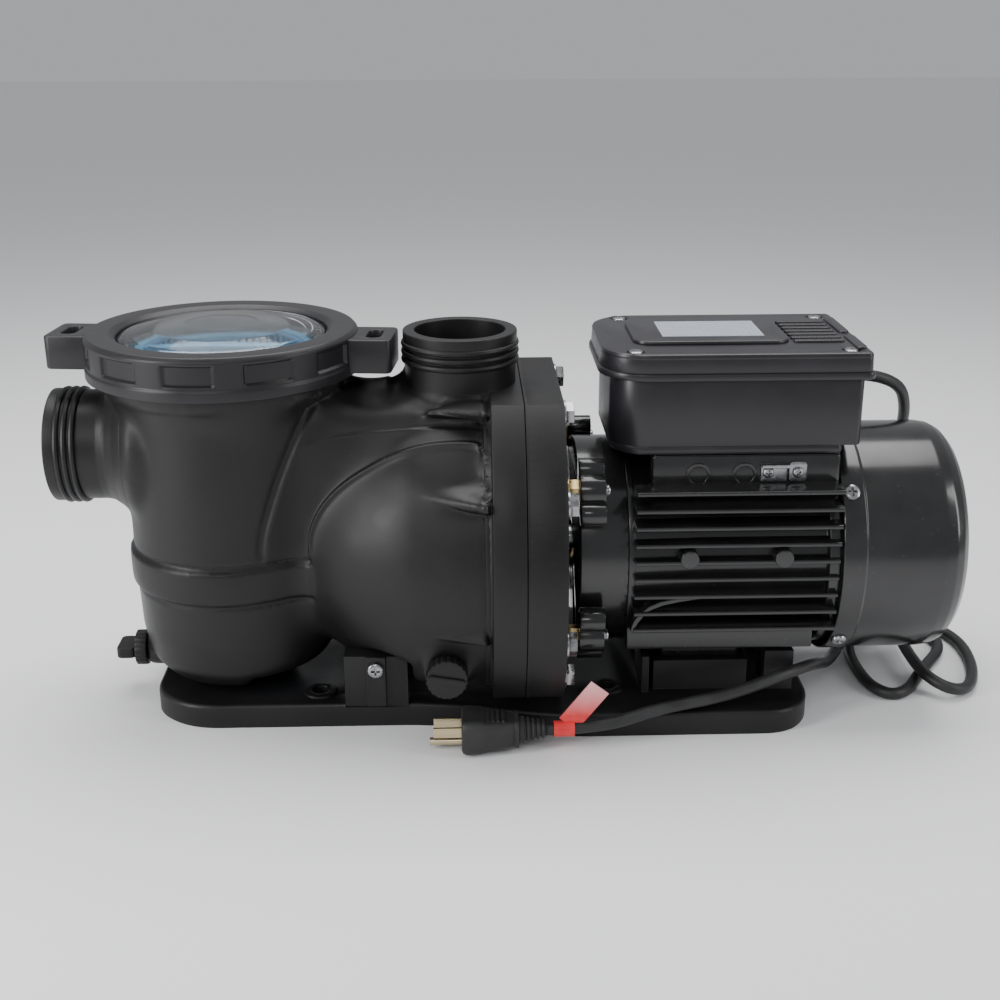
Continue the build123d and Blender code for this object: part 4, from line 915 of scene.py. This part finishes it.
def rib_tree():
    """Geometry Nodes: a leaning rib copied round the pot axis, tied by level hoops."""
    tree, feed, out = node_group(
        "basket_ribs",
        [("Mesh", "Geometry", None), ("Ribs", "Int", 60), ("Hoops", "Int", 7),
         ("Radius", "Float", 0.0545), ("Height", "Float", 0.188),
         ("Rib width", "Float", 0.0028), ("Rib depth", "Float", 0.0028),
         ("Floor", "Vector", (0, 0, 0)), ("Finish", "Material", None)],
        [("Mesh", "Geometry")], "GeometryNodeTree")
    nodes, link = tree.nodes, tree.links.new
    hoop = nodes.new("GeometryNodeCurvePrimitiveCircle")
    hoop.inputs["Resolution"].default_value = 120
    stations = nodes.new("GeometryNodeResampleCurve")
    post = nodes.new("GeometryNodeMeshCube")
    size = nodes.new("ShaderNodeCombineXYZ")
    half = maths(nodes, "MULTIPLY", 0.5)
    middle = nodes.new("ShaderNodeCombineXYZ")
    stand = nodes.new("GeometryNodeTransform")
    turn = nodes.new("FunctionNodeAlignRotationToVector")
    turn.axis = "X"
    tangent = nodes.new("GeometryNodeInputTangent")
    ribs = nodes.new("GeometryNodeInstanceOnPoints")
    wires(link, (feed, "Radius", hoop, "Radius"), (hoop, "Curve", stations, "Curve"),
          (feed, "Ribs", stations, "Count"), (feed, "Rib width", size, "X"),
          (feed, "Rib depth", size, "Y"), (feed, "Height", size, "Z"),
          (size, "Vector", post, "Size"), (feed, "Height", half, 0), (half, 0, middle, "Z"),
          (post, "Mesh", stand, "Geometry"), (middle, "Vector", stand, "Translation"),
          (tangent, "Tangent", turn, "Vector"), (stations, "Curve", ribs, "Points"),
          (stand, "Geometry", ribs, "Instance"), (turn, "Rotation", ribs, "Rotation"))
    strip = nodes.new("GeometryNodeCurvePrimitiveQuadrilateral")
    link(feed.outputs["Rib depth"], strip.inputs["Width"])
    link(feed.outputs["Rib width"], strip.inputs["Height"])
    hoop_mesh = nodes.new("GeometryNodeCurveToMesh")
    link(hoop.outputs["Curve"], hoop_mesh.inputs["Curve"])
    link(strip.outputs["Curve"], hoop_mesh.inputs["Profile Curve"])
    tiers = nodes.new("GeometryNodeMeshLine")
    tiers.mode = "END_POINTS"
    top = nodes.new("ShaderNodeCombineXYZ")
    wires(link, (feed, "Height", top, "Z"), (feed, "Hoops", tiers, "Count"),
          (top, "Vector", tiers, "Offset"))
    hoops = nodes.new("GeometryNodeInstanceOnPoints")
    link(tiers.outputs["Mesh"], hoops.inputs["Points"])
    link(hoop_mesh.outputs["Mesh"], hoops.inputs["Instance"])
    both = nodes.new("GeometryNodeJoinGeometry")
    link(ribs.outputs["Instances"], both.inputs["Geometry"])
    link(hoops.outputs["Instances"], both.inputs["Geometry"])
    place = nodes.new("GeometryNodeTransform")
    link(both.outputs["Geometry"], place.inputs["Geometry"])
    link(feed.outputs["Floor"], place.inputs["Translation"])
    end_tree(tree, place.outputs["Geometry"], feed, out)
    return tree


ribs = grown("basket_ribs", rib_tree(), Floor=(POT_X * MM, 0, 0.036), Finish=basket_blue)
fit(ribs, "strainer", "blue_plastic", "basket")
basket_rim = turned([(54.6, 221), (57.4, 221), (57.6, 226), (61.3, 227), (61.3, 230.8),
                     (58, 231), (55, 229), (54.6, 226)], (POT_X, 0, 0), "Z", 0.8, 120,
                    closed=True)
holes = [circle(POT_X + r * math.cos(a), r * math.sin(a), 3.2, 12)
         for r, n in ((14, 6), (26, 12), (38, 18)) for a in
         (2 * math.pi * k / n for k in range(n))]
basket_floor = plate([circle(POT_X, 0, 52, 72)] + holes, 33.1, 36.1, edge=0.5)
handle = plate([rounded_box(POT_X - 56, POT_X + 56, -5, 5, 2)], 219.2, 227.8, edge=1.4)
rim = piece("basket_rim", joined(basket_rim, basket_floor, handle))
dress(rim, basket_blue, "strainer", "blue_plastic", "basket")

# ------------------------------------------------------------------ drain plugs
# Black screw plugs, each on a rubber ring: a ribbed knob with a bar across it low on
# the volute, and one with a flat wing on the end of the pot.


def knob(radius, low, high, ribs_round, centre, axis):
    """A knob with a fluted rim, turned about an axis."""
    steps = ribs_round * 8
    loop = []
    for k in range(steps):
        a = 2 * math.pi * k / steps
        r = radius - 0.55 * (0.5 + 0.5 * math.cos(ribs_round * 2 * math.pi * k / steps)) ** 3
        loop.append((r * math.cos(a), r * math.sin(a)))
    mesh = plate([loop], low, high, edge=0.9)
    turn = {"Y": Matrix.Rotation(math.radians(90), 4, "X"),
            "X": Matrix.Rotation(math.radians(-90), 4, "Y")}[axis]
    mesh.transform(Matrix.Translation(Vector(centre) * MM) @ turn)
    return mesh


front_bar = plate([rounded_box(-11.8, 11.8, -2.3, 2.3, 2.2)], 10, 12.3, edge=0.7)
front_bar.transform(Matrix.Translation(Vector((-10.5, -95, 52)) * MM)
                    @ Matrix.Rotation(math.radians(90), 4, "X")
                    @ Matrix.Rotation(math.radians(-10), 4, "Z"))
front_stem = turned([(0, -95.6), (6.8, -95.6), (6.8, -79), (6.2, -77.5), (0, -77.5)],
                    (-10.5, 0, 52), "Y", 0.3, 40)
front_knob = piece("front_drain_knob", joined(
    knob(13, 0.4, 10.4, 20, (-10.5, -95, 52), "Y"), front_bar, front_stem))
dress(front_knob, black_moulding, "front_drain", "black_plastic", "front_drain_plug")

left_stem = turned([(0, -215.6), (5.5, -215.6), (5.5, -202.5), (5, -201.2), (0, -201.2)],
                   (0, 0, 28), "X", 0.3, 40)
wing = plate([rounded_box(-10.8, 10.8, 8, 20.8, 3.5)], -3.8, 3.8, edge=1.0)
wing.transform(Matrix.Translation(Vector((-215, 0, 28)) * MM)
               @ Matrix.Rotation(math.radians(90), 4, "Z"))
left_knob = piece("left_drain_wing", joined(
    knob(12, 0.4, 8.4, 16, (-215, 0, 28), "X"), wing, left_stem))
dress(left_knob, black_moulding, "left_drain", "black_plastic", "left_drain_plug")

# ------------------------------------------------------------------ screws and bolts
# Zinc-plated steel: pan-head screws with a cross recess, hex bolts with washers round
# the pump flange, and brass-coloured nuts on the motor studs.
zinc = finish("zinc_plate", (0.3, 0.3, 0.31), (0.42, 0.42, 0.43), (0.22, 0.36),
              grain_size=700, patches=220, bump=0.08, metal=1.0)
yellow_zinc = finish("yellow_zinc", (0.36, 0.27, 0.12), (0.5, 0.39, 0.2), (0.24, 0.38),
                     grain_size=700, patches=220, bump=0.08, metal=1.0)


def repeat_tree():
    """Geometry Nodes: one fastener set on every place, turned to face its own way."""
    tree, feed, out = node_group(
        "fasteners",
        [("Places", "Geometry", None), ("Fastener", "Object", None), ("Turn", "Float", None),
         ("Finish", "Material", None)],
        [("Mesh", "Geometry")], "GeometryNodeTree")
    nodes, link = tree.nodes, tree.links.new
    shape = nodes.new("GeometryNodeObjectInfo")
    facing = nodes.new("GeometryNodeInputNamedAttribute")
    facing.data_type = "FLOAT_VECTOR"
    facing.inputs["Name"].default_value = "facing"
    aim = nodes.new("FunctionNodeAlignRotationToVector")
    aim.axis = "Z"
    spin = nodes.new("FunctionNodeRotateRotation")
    spin.rotation_space = "LOCAL"
    twist = nodes.new("ShaderNodeCombineXYZ")
    index = nodes.new("GeometryNodeInputIndex")
    each = maths(nodes, "MULTIPLY")
    copies = nodes.new("GeometryNodeInstanceOnPoints")
    wires(link, (feed, "Fastener", shape, "Object"), (facing, "Attribute", aim, "Vector"),
          (index, "Index", each, 0), (feed, "Turn", each, 1), (each, 0, twist, "Z"),
          (aim, "Rotation", spin, "Rotation"), (twist, "Vector", spin, "Rotate By"),
          (feed, "Places", copies, "Points"), (shape, "Geometry", copies, "Instance"),
          (spin, "Rotation", copies, "Rotation"))
    end_tree(tree, copies.outputs["Instances"], feed, out)
    return tree


fasteners = repeat_tree()


def set_out(name, shape, places, turn, coating, slot, node, body="frame"):
    """Copies of one fastener at (place, facing) pairs, as one piece."""
    spots = bpy.data.meshes.new("places")
    spots.from_pydata([tuple(Vector(p) * MM) for p, _ in places], [], [])
    facing = spots.attributes.new("facing", "FLOAT_VECTOR", "POINT")
    for k, (_, way) in enumerate(places):
        facing.data[k].vector = way
    one = piece(name + "_one", shape)
    made = grown(name, fasteners, spots, Fastener=one, Turn=turn, Finish=coating)
    bpy.data.objects.remove(one)
    return fit(made, body, slot, node)


def cross_head(radius, rise, shank, length, bar=0.28, sunk=0.75):
    """A pan-head screw pointing down from its seat at height 0, with a cross recess."""
    steps = 48
    levels = [(radius, 0), (radius, rise * 0.35), (radius * 0.93, rise * 0.72),
              (radius * 0.78, rise * 0.93), (radius * 0.62, rise)]
    verts, faces = [], []
    for r, h in levels:
        verts += [(r * math.cos(2 * math.pi * k / steps), r * math.sin(2 * math.pi * k / steps),
                   h) for k in range(steps)]
    for i in range(len(levels) - 1):
        for k in range(steps):
            m = (k + 1) % steps
            faces.append((i * steps + k, i * steps + m, (i + 1) * steps + m,
                          (i + 1) * steps + k))
    w, reach = radius * bar * 0.5, radius * 0.56
    cross = [(w, w), (w, reach), (-w, reach), (-w, w), (-reach, w), (-reach, -w), (-w, -w),
             (-w, -reach), (w, -reach), (w, -w), (reach, -w), (reach, w)]
    top, low = len(verts), len(verts) + len(cross)
    verts += [(u, v, rise) for u, v in cross]
    verts += [(u * 0.6, v * 0.6, rise - rise * sunk) for u, v in cross]
    for k in range(len(cross)):
        m = (k + 1) % len(cross)
        faces.append((top + m, top + k, low + k, low + m))
    faces.append(tuple(range(low, low + len(cross)))[::-1])
    mesh = bpy.data.meshes.new("cross_head")
    mesh.from_pydata([tuple(Vector(v) * MM) for v in verts], [], faces)
    work = bmesh.new()
    work.from_mesh(mesh)
    work.verts.ensure_lookup_table()
    crown = (len(levels) - 1) * steps
    rims = [work.edges.get((work.verts[crown + k], work.verts[crown + (k + 1) % steps]))
            for k in range(steps)]
    rims += [work.edges.get((work.verts[top + k], work.verts[top + (k + 1) % len(cross)]))
             for k in range(len(cross))]
    bmesh.ops.triangle_fill(work, use_beauty=True, edges=rims, normal=(0, 0, 1))
    work.to_mesh(mesh)
    work.free()
    mesh = smooth(mesh)
    return joined(mesh, turned([(0, 0.05), (radius, 0.05), (radius - 0.3, -0.1),
                                (shank, -0.3), (shank, -length), (0, -length - 0.6)],
                               (0, 0, 0), "Z", 0.15, 32))


def hexagon(across, low, high):
    """A hex head with both its rims chamfered."""
    corner = across / math.cos(math.radians(30)) / 2
    return plate([[(corner * math.cos(math.radians(60 * k)),
                    corner * math.sin(math.radians(60 * k))) for k in range(6)]],
                 low, high, edge=0.55)


def out_from_shaft(angle, radius, along):
    """A place round the shaft and the way it faces, angle measured from the top to the front."""
    a = math.radians(angle)
    way = Vector((0, -math.sin(a), math.cos(a)))
    return tuple(Vector((along, 0, SHAFT_Z)) + way * radius), tuple(way)


foot_places = [((-56.5, s * 68, 41.5), (0, s, 0)) for s in (-1, 1)]
set_out("foot_screw_set", cross_head(5.2, 2.9, 2.5, 26), foot_places, 0.6, zinc,
        "bright_steel", "foot_screws")

FLANGE_BOLTS = [(s * y, SHAFT_Z + z) for s in (-1, 1)
                for y, z in ((46, 99), (92, 56), (96, -34), (78, -64))]
bolt_shape = joined(hexagon(13, 0, 5.2),
                    turned([(0, 5), (3.6, 5), (3.4, 5.5), (0, 5.5)], (0, 0, 0), "Z", 0.2, 32),
                    turned([(0, 0.1), (4, 0.1), (4, -43), (0, -43.4)], (0, 0, 0), "Z", 0.3, 32))
set_out("flange_bolt_set", bolt_shape, [((64.6, y, z), (1, 0, 0)) for y, z in FLANGE_BOLTS],
        0.35, zinc, "bright_steel", "cover_bolts")
washer_shape = turned([(4.15, 0), (8.5, 0), (8.5, 1.6), (4.15, 1.6)], (0, 0, 0), "Z", 0.3, 48,
                      closed=True)
set_out("flange_washer_set", washer_shape, [((63, y, z), (1, 0, 0)) for y, z in FLANGE_BOLTS],
        0.0, zinc, "bright_steel", "cover_washers")

# ------------------------------------------------------------------ seal plate
# A moulded plate bolted to the pump flange. Its hollow back is stiffened by ribs, and
# four bosses carry the motor studs.
STUDS = [(-79 * math.sin(math.radians(a)), SHAFT_Z + 79 * math.cos(math.radians(a)))
         for a in (48, 122, 238, 312)]
plate_skin = piece("seal_plate_rim", plate([flange_outline(), circle(0, SHAFT_Z, 66, 72)],
                                           39.1, 63, edge=1.5, face="X"))
dress(plate_skin, black_moulding, "frame", "black_plastic")
recoat("seal_plate", black_moulding)

# ------------------------------------------------------------------ motor bracket
# Cast aluminium end shield, painted gloss black, with fluted lugs for the four studs.
gloss_paint = finish("gloss_paint", (0.0085, 0.0085, 0.009), (0.014, 0.014, 0.0145),
                     (0.17, 0.27), grain_size=420, patches=26, bump=0.12, depth=0.0002,
                     coat=0.35, dust=0.04)
bracket = softened("motor_bracket", "bracket_casting", 0.6)
dress(bracket, gloss_paint, "frame", "black_paint", "motor_bracket")
nut_shape = joined(
    plate([[(7.5 * math.cos(math.radians(60 * k)), 7.5 * math.sin(math.radians(60 * k)))
            for k in range(6)], circle(0, 0, 4.1, 32)], 1.4, 8, edge=0.5),
    turned([(4.1, 0), (8.5, 0), (8.5, 1.3), (4.1, 1.3)], (0, 0, 0), "Z", 0.3, 48, closed=True))
set_out("stud_nut_set", nut_shape, [((65, y, z), (1, 0, 0)) for y, z in STUDS], 0.5,
        yellow_zinc, "brassy_steel", "stud_nuts")
stud_shape = turned([(0, 0), (3.6, 0), (3.95, 0.5)]
                    + [(r, 0.8 + 1.25 * k + d) for k in range(35)
                       for r, d in ((3.95, 0.0), (3.55, 0.6))]
                    + [(3.9, 45.2), (3.5, 46), (0, 46)], (0, 0, 0), "Z", 0.1, 24)
set_out("stud_set", stud_shape, [((46, y, z), (1, 0, 0)) for y, z in STUDS], 0.0, zinc,
        "bright_steel", "studs")

# ------------------------------------------------------------------ motor housing
# An aluminium barrel painted gloss black: level cooling fins on both flanks, a saddle
# for the terminal box with round knock-outs, low side walls and a square foot.


def fin_tree():
    """Geometry Nodes: one rounded fin copied up both flanks of the motor."""
    tree, feed, out = node_group(
        "cooling_fins",
        [("Mesh", "Geometry", None), ("Fins", "Int", 9), ("Pitch", "Float", 0.0114),
         ("Length", "Float", 0.128), ("Fin depth", "Float", 0.02),
         ("Fin thickness", "Float", 0.0028), ("Spread", "Float", 0.13),
         ("Middle", "Vector", (0, 0, 0)), ("Finish", "Material", None)],
        [("Mesh", "Geometry")], "GeometryNodeTree")
    nodes, link = tree.nodes, tree.links.new
    run = nodes.new("GeometryNodeCurvePrimitiveLine")
    ends = []
    for part in (-0.5, 0.5):
        scaled = maths(nodes, "MULTIPLY", part)
        spot = nodes.new("ShaderNodeCombineXYZ")
        link(feed.outputs["Length"], scaled.inputs[0])
        link(scaled.outputs[0], spot.inputs["X"])
        ends.append(spot)
    link(ends[0].outputs["Vector"], run.inputs["Start"])
    link(ends[1].outputs["Vector"], run.inputs["End"])
    section = nodes.new("GeometryNodeCurvePrimitiveQuadrilateral")
    link(feed.outputs["Fin depth"], section.inputs["Width"])
    link(feed.outputs["Fin thickness"], section.inputs["Height"])
    rounded = nodes.new("GeometryNodeFilletCurve")
    rounded.mode = "POLY"
    rounded.inputs["Count"].default_value = 3
    third = maths(nodes, "MULTIPLY", 0.33)
    wires(link, (feed, "Fin thickness", third, 0), (third, 0, rounded, "Radius"),
          (section, "Curve", rounded, "Curve"))
    fin = nodes.new("GeometryNodeCurveToMesh")
    fin.inputs["Fill Caps"].default_value = True
    link(run.outputs["Curve"], fin.inputs["Curve"])
    link(rounded.outputs["Curve"], fin.inputs["Profile Curve"])
    grid = nodes.new("GeometryNodeMeshGrid")
    tall = maths(nodes, "MULTIPLY")
    less = maths(nodes, "SUBTRACT", 1.0)
    wires(link, (feed, "Fins", less, 0), (less, 0, tall, 0), (feed, "Pitch", tall, 1),
          (feed, "Spread", grid, "Size Y"), (tall, 0, grid, "Size X"),
          (feed, "Fins", grid, "Vertices X"))
    grid.inputs["Vertices Y"].default_value = 2
    upright = nodes.new("GeometryNodeTransform")
    upright.inputs["Rotation"].default_value = (0, math.radians(90), 0)
    link(grid.outputs["Mesh"], upright.inputs["Geometry"])
    copies = nodes.new("GeometryNodeInstanceOnPoints")
    link(upright.outputs["Geometry"], copies.inputs["Points"])
    link(fin.outputs["Mesh"], copies.inputs["Instance"])
    place = nodes.new("GeometryNodeTransform")
    link(copies.outputs["Instances"], place.inputs["Geometry"])
    link(feed.outputs["Middle"], place.inputs["Translation"])
    end_tree(tree, place.outputs["Geometry"], feed, out)
    return tree


fins = grown("housing_fins", fin_tree(), Middle=(0.1715, 0, 0.1146), Finish=gloss_paint)
fit(fins, "frame", "black_paint", "motor_housing")

barrel = turned([(62.05, 104), (69, 104), (69, 108), (66, 108.6), (66, 229.4), (72, 230),
                 (72, 237), (62.05, 237)], (0, 0, SHAFT_Z), "X", 0.7, 144, closed=True)
saddle = joined(
    plate([rounded_box(118.4, 235.6, -55.2, 55.2, 4)], 172, 179, edge=0.8),
    plate([rounded_box(118, 236, 40, 56, 2.5)], 147.5, 178.6, edge=1.2),
    plate([rounded_box(118, 236, -56, -40, 2.5)], 147.5, 178.6, edge=1.2))
walls = [plate([rounded_box(104.4, 225, min(s * 47, s * 62), max(s * 47, s * 62), 1.5)],
               50, 66, edge=1.0) for s in (-1, 1)]
foot = plate([rounded_box(128, 182, -46, 46, 4)], 37, 52, edge=1.0)
bosses = []
for s in (-1, 1):
    for x in (141, 200):
        far = 77 * s
        bosses.append(turned([(0, min(60 * s, far)), (5.9, min(60 * s, far)),
                              (5.9, max(60 * s, far)), (0, max(60 * s, far))],
                             (x, 0, SHAFT_Z + 12.5), "Y", 1.0, 40))
SWEEP = [(106.5, 67), (107.3, 70.8), (109.1, 75), (112.5, 79.4), (117.7, 84.1),
         (124.5, 87.1), (134.6, 89.4), (148, 91.4)]
swept_fins = []
for near, far in ((50, 73.5), (-73.5, -50)):
    swept_fins.append(plate([[(u + 0.9, v - 1.4) for u, v in SWEEP]
                             + [(u - 0.9, v + 1.4) for u, v in SWEEP[::-1]]],
                            near, far, edge=0.6, face="Y"))
knockouts = []
for s in (-1, 1):
    for x in (147, 176):
        knockouts.append(turned([(5.6, 54.0 * s), (5.6, 57.2 * s), (7.8, 57.2 * s),
                                 (7.8, 54.0 * s)], (x, 0, 166.5), "Y", 0.4, 48, closed=True))
housing = piece("housing_barrel", joined(barrel, saddle, foot, *walls, *bosses, *knockouts,
                                         *swept_fins))
dress(housing, gloss_paint, "frame", "black_paint", "motor_housing")
set_out("pedestal_screw_set", cross_head(5.5, 2.4, 2.5, 12),
        [((155, s * 30, 33), (0, 0, -1)) for s in (-1, 1)], 0.4, zinc, "bright_steel",
        "pedestal_screws")

# ------------------------------------------------------------------ ground clamp
# Two small plated tabs under cross-head screws on the front of the saddle.
tabs = joined(plate([rounded_box(186, 202, 162, 174, 1.2), circle(190.5, 168, 2.2, 24)],
                    56, 57.5, edge=0.35, face="Y"),
              plate([rounded_box(203.5, 214.5, 162, 175, 2.5), circle(209, 168, 2.2, 24)],
                    56, 57.8, edge=0.4, face="Y"),
              plate([rounded_box(186, 203, 171.6, 174, 0.8)], 57.5, 61, edge=0.35, face="Y"))
clamp = piece("ground_clamp_tabs", tabs)
dress(clamp, zinc, "frame", "bright_steel", "ground_clamp")
set_out("ground_screw_set", cross_head(3.4, 2.2, 2.0, 10),
        [((190.5, -57.5, 168), (0, -1, 0)), ((209, -57.8, 168), (0, -1, 0))], 0.7, zinc,
        "bright_steel", "ground_screws")

# ------------------------------------------------------------------ fan cover
# A pressed steel bowl over the fan, gloss black, stepped where it slides on the rear
# bell, held by four screws and pierced with air slots in its flat end.
cover_skin = turned([(73.8, 237.4), (77, 237.4), (77, 251.6), (76.1, 252.6), (76.1, 303),
                     (75.2, 309.5), (72.6, 314.6), (68, 318.6), (61, 321), (57.5, 321.6),
                     (57.5, 319.4), (66, 316.2), (70.4, 312.2), (73.6, 303), (73.8, 252)],
                    (0, 0, SHAFT_Z), "X", 1.2, 160, closed=True)
slots = []
for row in range(-6, 7):
    reach = math.sqrt(56 ** 2 - (row * 8) ** 2)
    for s in (-1, 1):
        slots.append(rounded_box(min(s * 3, s * reach), max(s * 3, s * reach),
                                 SHAFT_Z + row * 8 - 2, SHAFT_Z + row * 8 + 2, 1.9, 4))
grille = plate([circle(0, SHAFT_Z, 59.5, 96)] + slots, 319.7, 322, edge=0.6, face="X")
cover = piece("fan_cover_bowl", joined(cover_skin, grille))
dress(cover, gloss_paint, "frame", "black_paint", "fan_cover")
set_out("fan_cover_screw_set", cross_head(5.2, 2.4, 2.0, 8),
        [out_from_shaft(a, 77.1, 243.5) for a in (50, 132, 228, 310)], 0.5, zinc,
        "bright_steel", "fan_cover_screws")

# ------------------------------------------------------------------ terminal box
# A black moulded box with wide round corners towards the pump, and a lid with a rolled
# lip, a raised panel, air ribs and two humps, held by four screws.
box_moulding = finish("box_moulding", (0.0125, 0.0115, 0.0145), (0.019, 0.018, 0.022),
                      (0.3, 0.42), grain_size=1500, patches=12, bump=0.14, depth=0.00008,
                      dust=0.05)


def box_outline(x0, x1, half, big, small, steps=10):
    """Plan of the box, counter-clockwise: wide corners at x0, tight ones at x1."""
    loop = []
    for cx, cy, r, start in ((x1 - small, half - small, small, 0),
                             (x0 + big, half - big, big, 90),
                             (x0 + big, big - half, big, 180),
                             (x1 - small, small - half, small, 270)):
        for k in range(steps + 1):
            a = math.radians(start + 90 * k / steps)
            loop.append((cx + r * math.cos(a), cy + r * math.sin(a)))
    return loop


box_parts = [plate([box_outline(93, 247.5, 55.5, 24, 4), box_outline(95.6, 244.9, 52.9, 21.4, 3)],
                   184.6, 228, edge=0.6),
             plate([box_outline(93, 237, 55.5, 24, 4)], 179, 185.6, edge=2.2)]
box_parts += [plate([circle(x, s * 47.2, 5.3, 24), circle(x, s * 47.2, 2.1, 16)], 185, 228,
                    edge=0.3) for x in (107, 239) for s in (-1, 1)]
box_shell = piece("box_shell", joined(*box_parts))
dress(box_shell, box_moulding, "frame", "box_plastic", "box_base")

screw_wells = [circle(x, s * 47.2, 5.0, 28) for x in (107, 239) for s in (-1, 1)]
lid_parts = [
    plate([box_outline(85.5, 253, 59, 30, 5), box_outline(92.8, 247.7, 55.7, 24.2, 4)],
          227, 231.4, edge=0.9),
    plate([box_outline(86.8, 251.7, 57.7, 28.7, 4.2), box_outline(95, 245, 53, 22, 3)],
          230.4, 242.4, edge=0.5, draft=0.6),
    plate([box_outline(87.2, 251.3, 57.3, 28.3, 4)] + screw_wells, 238.5, 243.5, edge=2.0),
    plate([box_outline(87.6, 250.9, 56.9, 28, 4)], 237.5, 242.0, edge=0.5),
    plate([rounded_box(108, 206, -33, 33, 11)], 242.5, 246, edge=1.4)]
lid_parts += [plate([rounded_box(208, 240, -29.5 + 9 * k, -24.5 + 9 * k, 2.3)], 242.5, 245,
                    edge=0.9) for k in range(7)]
lid_parts += [plate([rounded_box(242.5, 249.5, -4, 40, 3.2)], 242.5, 245, edge=1.1),
              plate([rounded_box(242.5, 249.5, -47, -13, 3.2)], 242.5, 245, edge=1.1)]
box_lid = piece("box_lid_moulding", joined(*lid_parts))
dress(box_lid, box_moulding, "frame", "box_plastic", "box_lid")
set_out("lid_screw_set", cross_head(4.4, 1.7, 2.0, 33),
        [((x, s * 47.2, 242.1), (0, 0, 1)) for x in (107, 239) for s in (-1, 1)], 0.9, zinc,
        "bright_steel", "lid_screws")

gland = softened("cord_gland", "gland_nut", 0.5)
dress(gland, black_moulding, "frame", "black_plastic", "cord_gland")

# Blank silver foil with a few faint ruled fields, no words.
label_foil = bpy.data.materials.new("label_foil")
label_foil.use_nodes = True
foil_nodes = label_foil.node_tree
foil = foil_nodes.nodes["Principled BSDF"]
foil.inputs["Metallic"].default_value = 0.25
foil.inputs["Roughness"].default_value = 0.3
foil_where = foil_nodes.nodes.new("ShaderNodeTexCoord")
foil_rows = foil_nodes.nodes.new("ShaderNodeTexBrick")
foil_rows.inputs["Scale"].default_value = 60
foil_rows.inputs["Mortar Size"].default_value = 0.012
foil_rows.inputs["Color1"].default_value = (0.42, 0.455, 0.51, 1)
foil_rows.inputs["Color2"].default_value = (0.47, 0.51, 0.565, 1)
foil_rows.inputs["Mortar"].default_value = (0.3, 0.33, 0.38, 1)
foil_nodes.links.new(foil_where.outputs["Object"], foil_rows.inputs["Vector"])
foil_nodes.links.new(foil_rows.outputs["Color"], foil.inputs["Base Color"])
recoat("rating_label", label_foil)

# ------------------------------------------------------------------ inside the pump and motor
# Hidden working parts keep their turned and milled shapes, each in its own finish.
machined_steel = finish("machined_steel", (0.42, 0.43, 0.45), (0.55, 0.56, 0.58), (0.2, 0.34),
                        grain_size=900, patches=90, bump=0.1, stretch=(4, 0.3, 0.3), metal=1.0)
sheet_steel = finish("sheet_steel", (0.2, 0.2, 0.21), (0.3, 0.3, 0.31), (0.4, 0.55),
                     grain_size=300, patches=60, bump=0.35, depth=0.0002,
                     stretch=(7, 0.2, 0.2), metal=0.9)
bare_casting = finish("bare_casting", (0.5, 0.5, 0.5), (0.62, 0.62, 0.61), (0.42, 0.6),
                      grain_size=1200, patches=70, bump=0.3, metal=0.95)
enamelled_wire = finish("enamelled_wire", (0.42, 0.13, 0.045), (0.6, 0.22, 0.08), (0.3, 0.42),
                        grain_size=700, patches=120, bump=0.7, depth=0.0005,
                        stretch=(0.15, 1, 1), metal=0.75)
seal_carbon = finish("seal_carbon", (0.02, 0.02, 0.022), (0.035, 0.035, 0.037), (0.3, 0.42),
                     grain_size=2200, patches=90, bump=0.08)
seal_ceramic = finish("seal_ceramic", (0.75, 0.73, 0.68), (0.85, 0.83, 0.8), (0.16, 0.26),
                      grain_size=1800, patches=60, bump=0.05)
wet_moulding = finish("wet_moulding", (0.014, 0.014, 0.014), (0.024, 0.024, 0.024),
                      (0.34, 0.46), grain_size=1300, patches=30, bump=0.2)
can_moulding = finish("can_moulding", (0.035, 0.035, 0.037), (0.05, 0.05, 0.052),
                      (0.35, 0.48), grain_size=1500, patches=30, bump=0.12)
inside = {
    wet_moulding: ("diffuser", "impeller", "fan"),
    can_moulding: ("capacitor", "terminal_block"),
    gloss_paint: ("rear_bell",),
    machined_steel: ("shaft", "front_bearing_outer", "front_bearing_inner",
                     "front_bearing_balls", "rear_bearing_outer", "rear_bearing_inner",
                     "rear_bearing_balls", "wave_washer", "fan_clip", "seal_spring",
                     "impeller_screw"),
    sheet_steel: ("rotor_core", "stator_core"),
    bare_casting: ("rotor_end_rings",),
    enamelled_wire: ("windings",),
    seal_carbon: ("seal_head",),
    seal_ceramic: ("seal_seat",)}
for coating, nodes in inside.items():
    for node in nodes:
        recoat(node, coating)
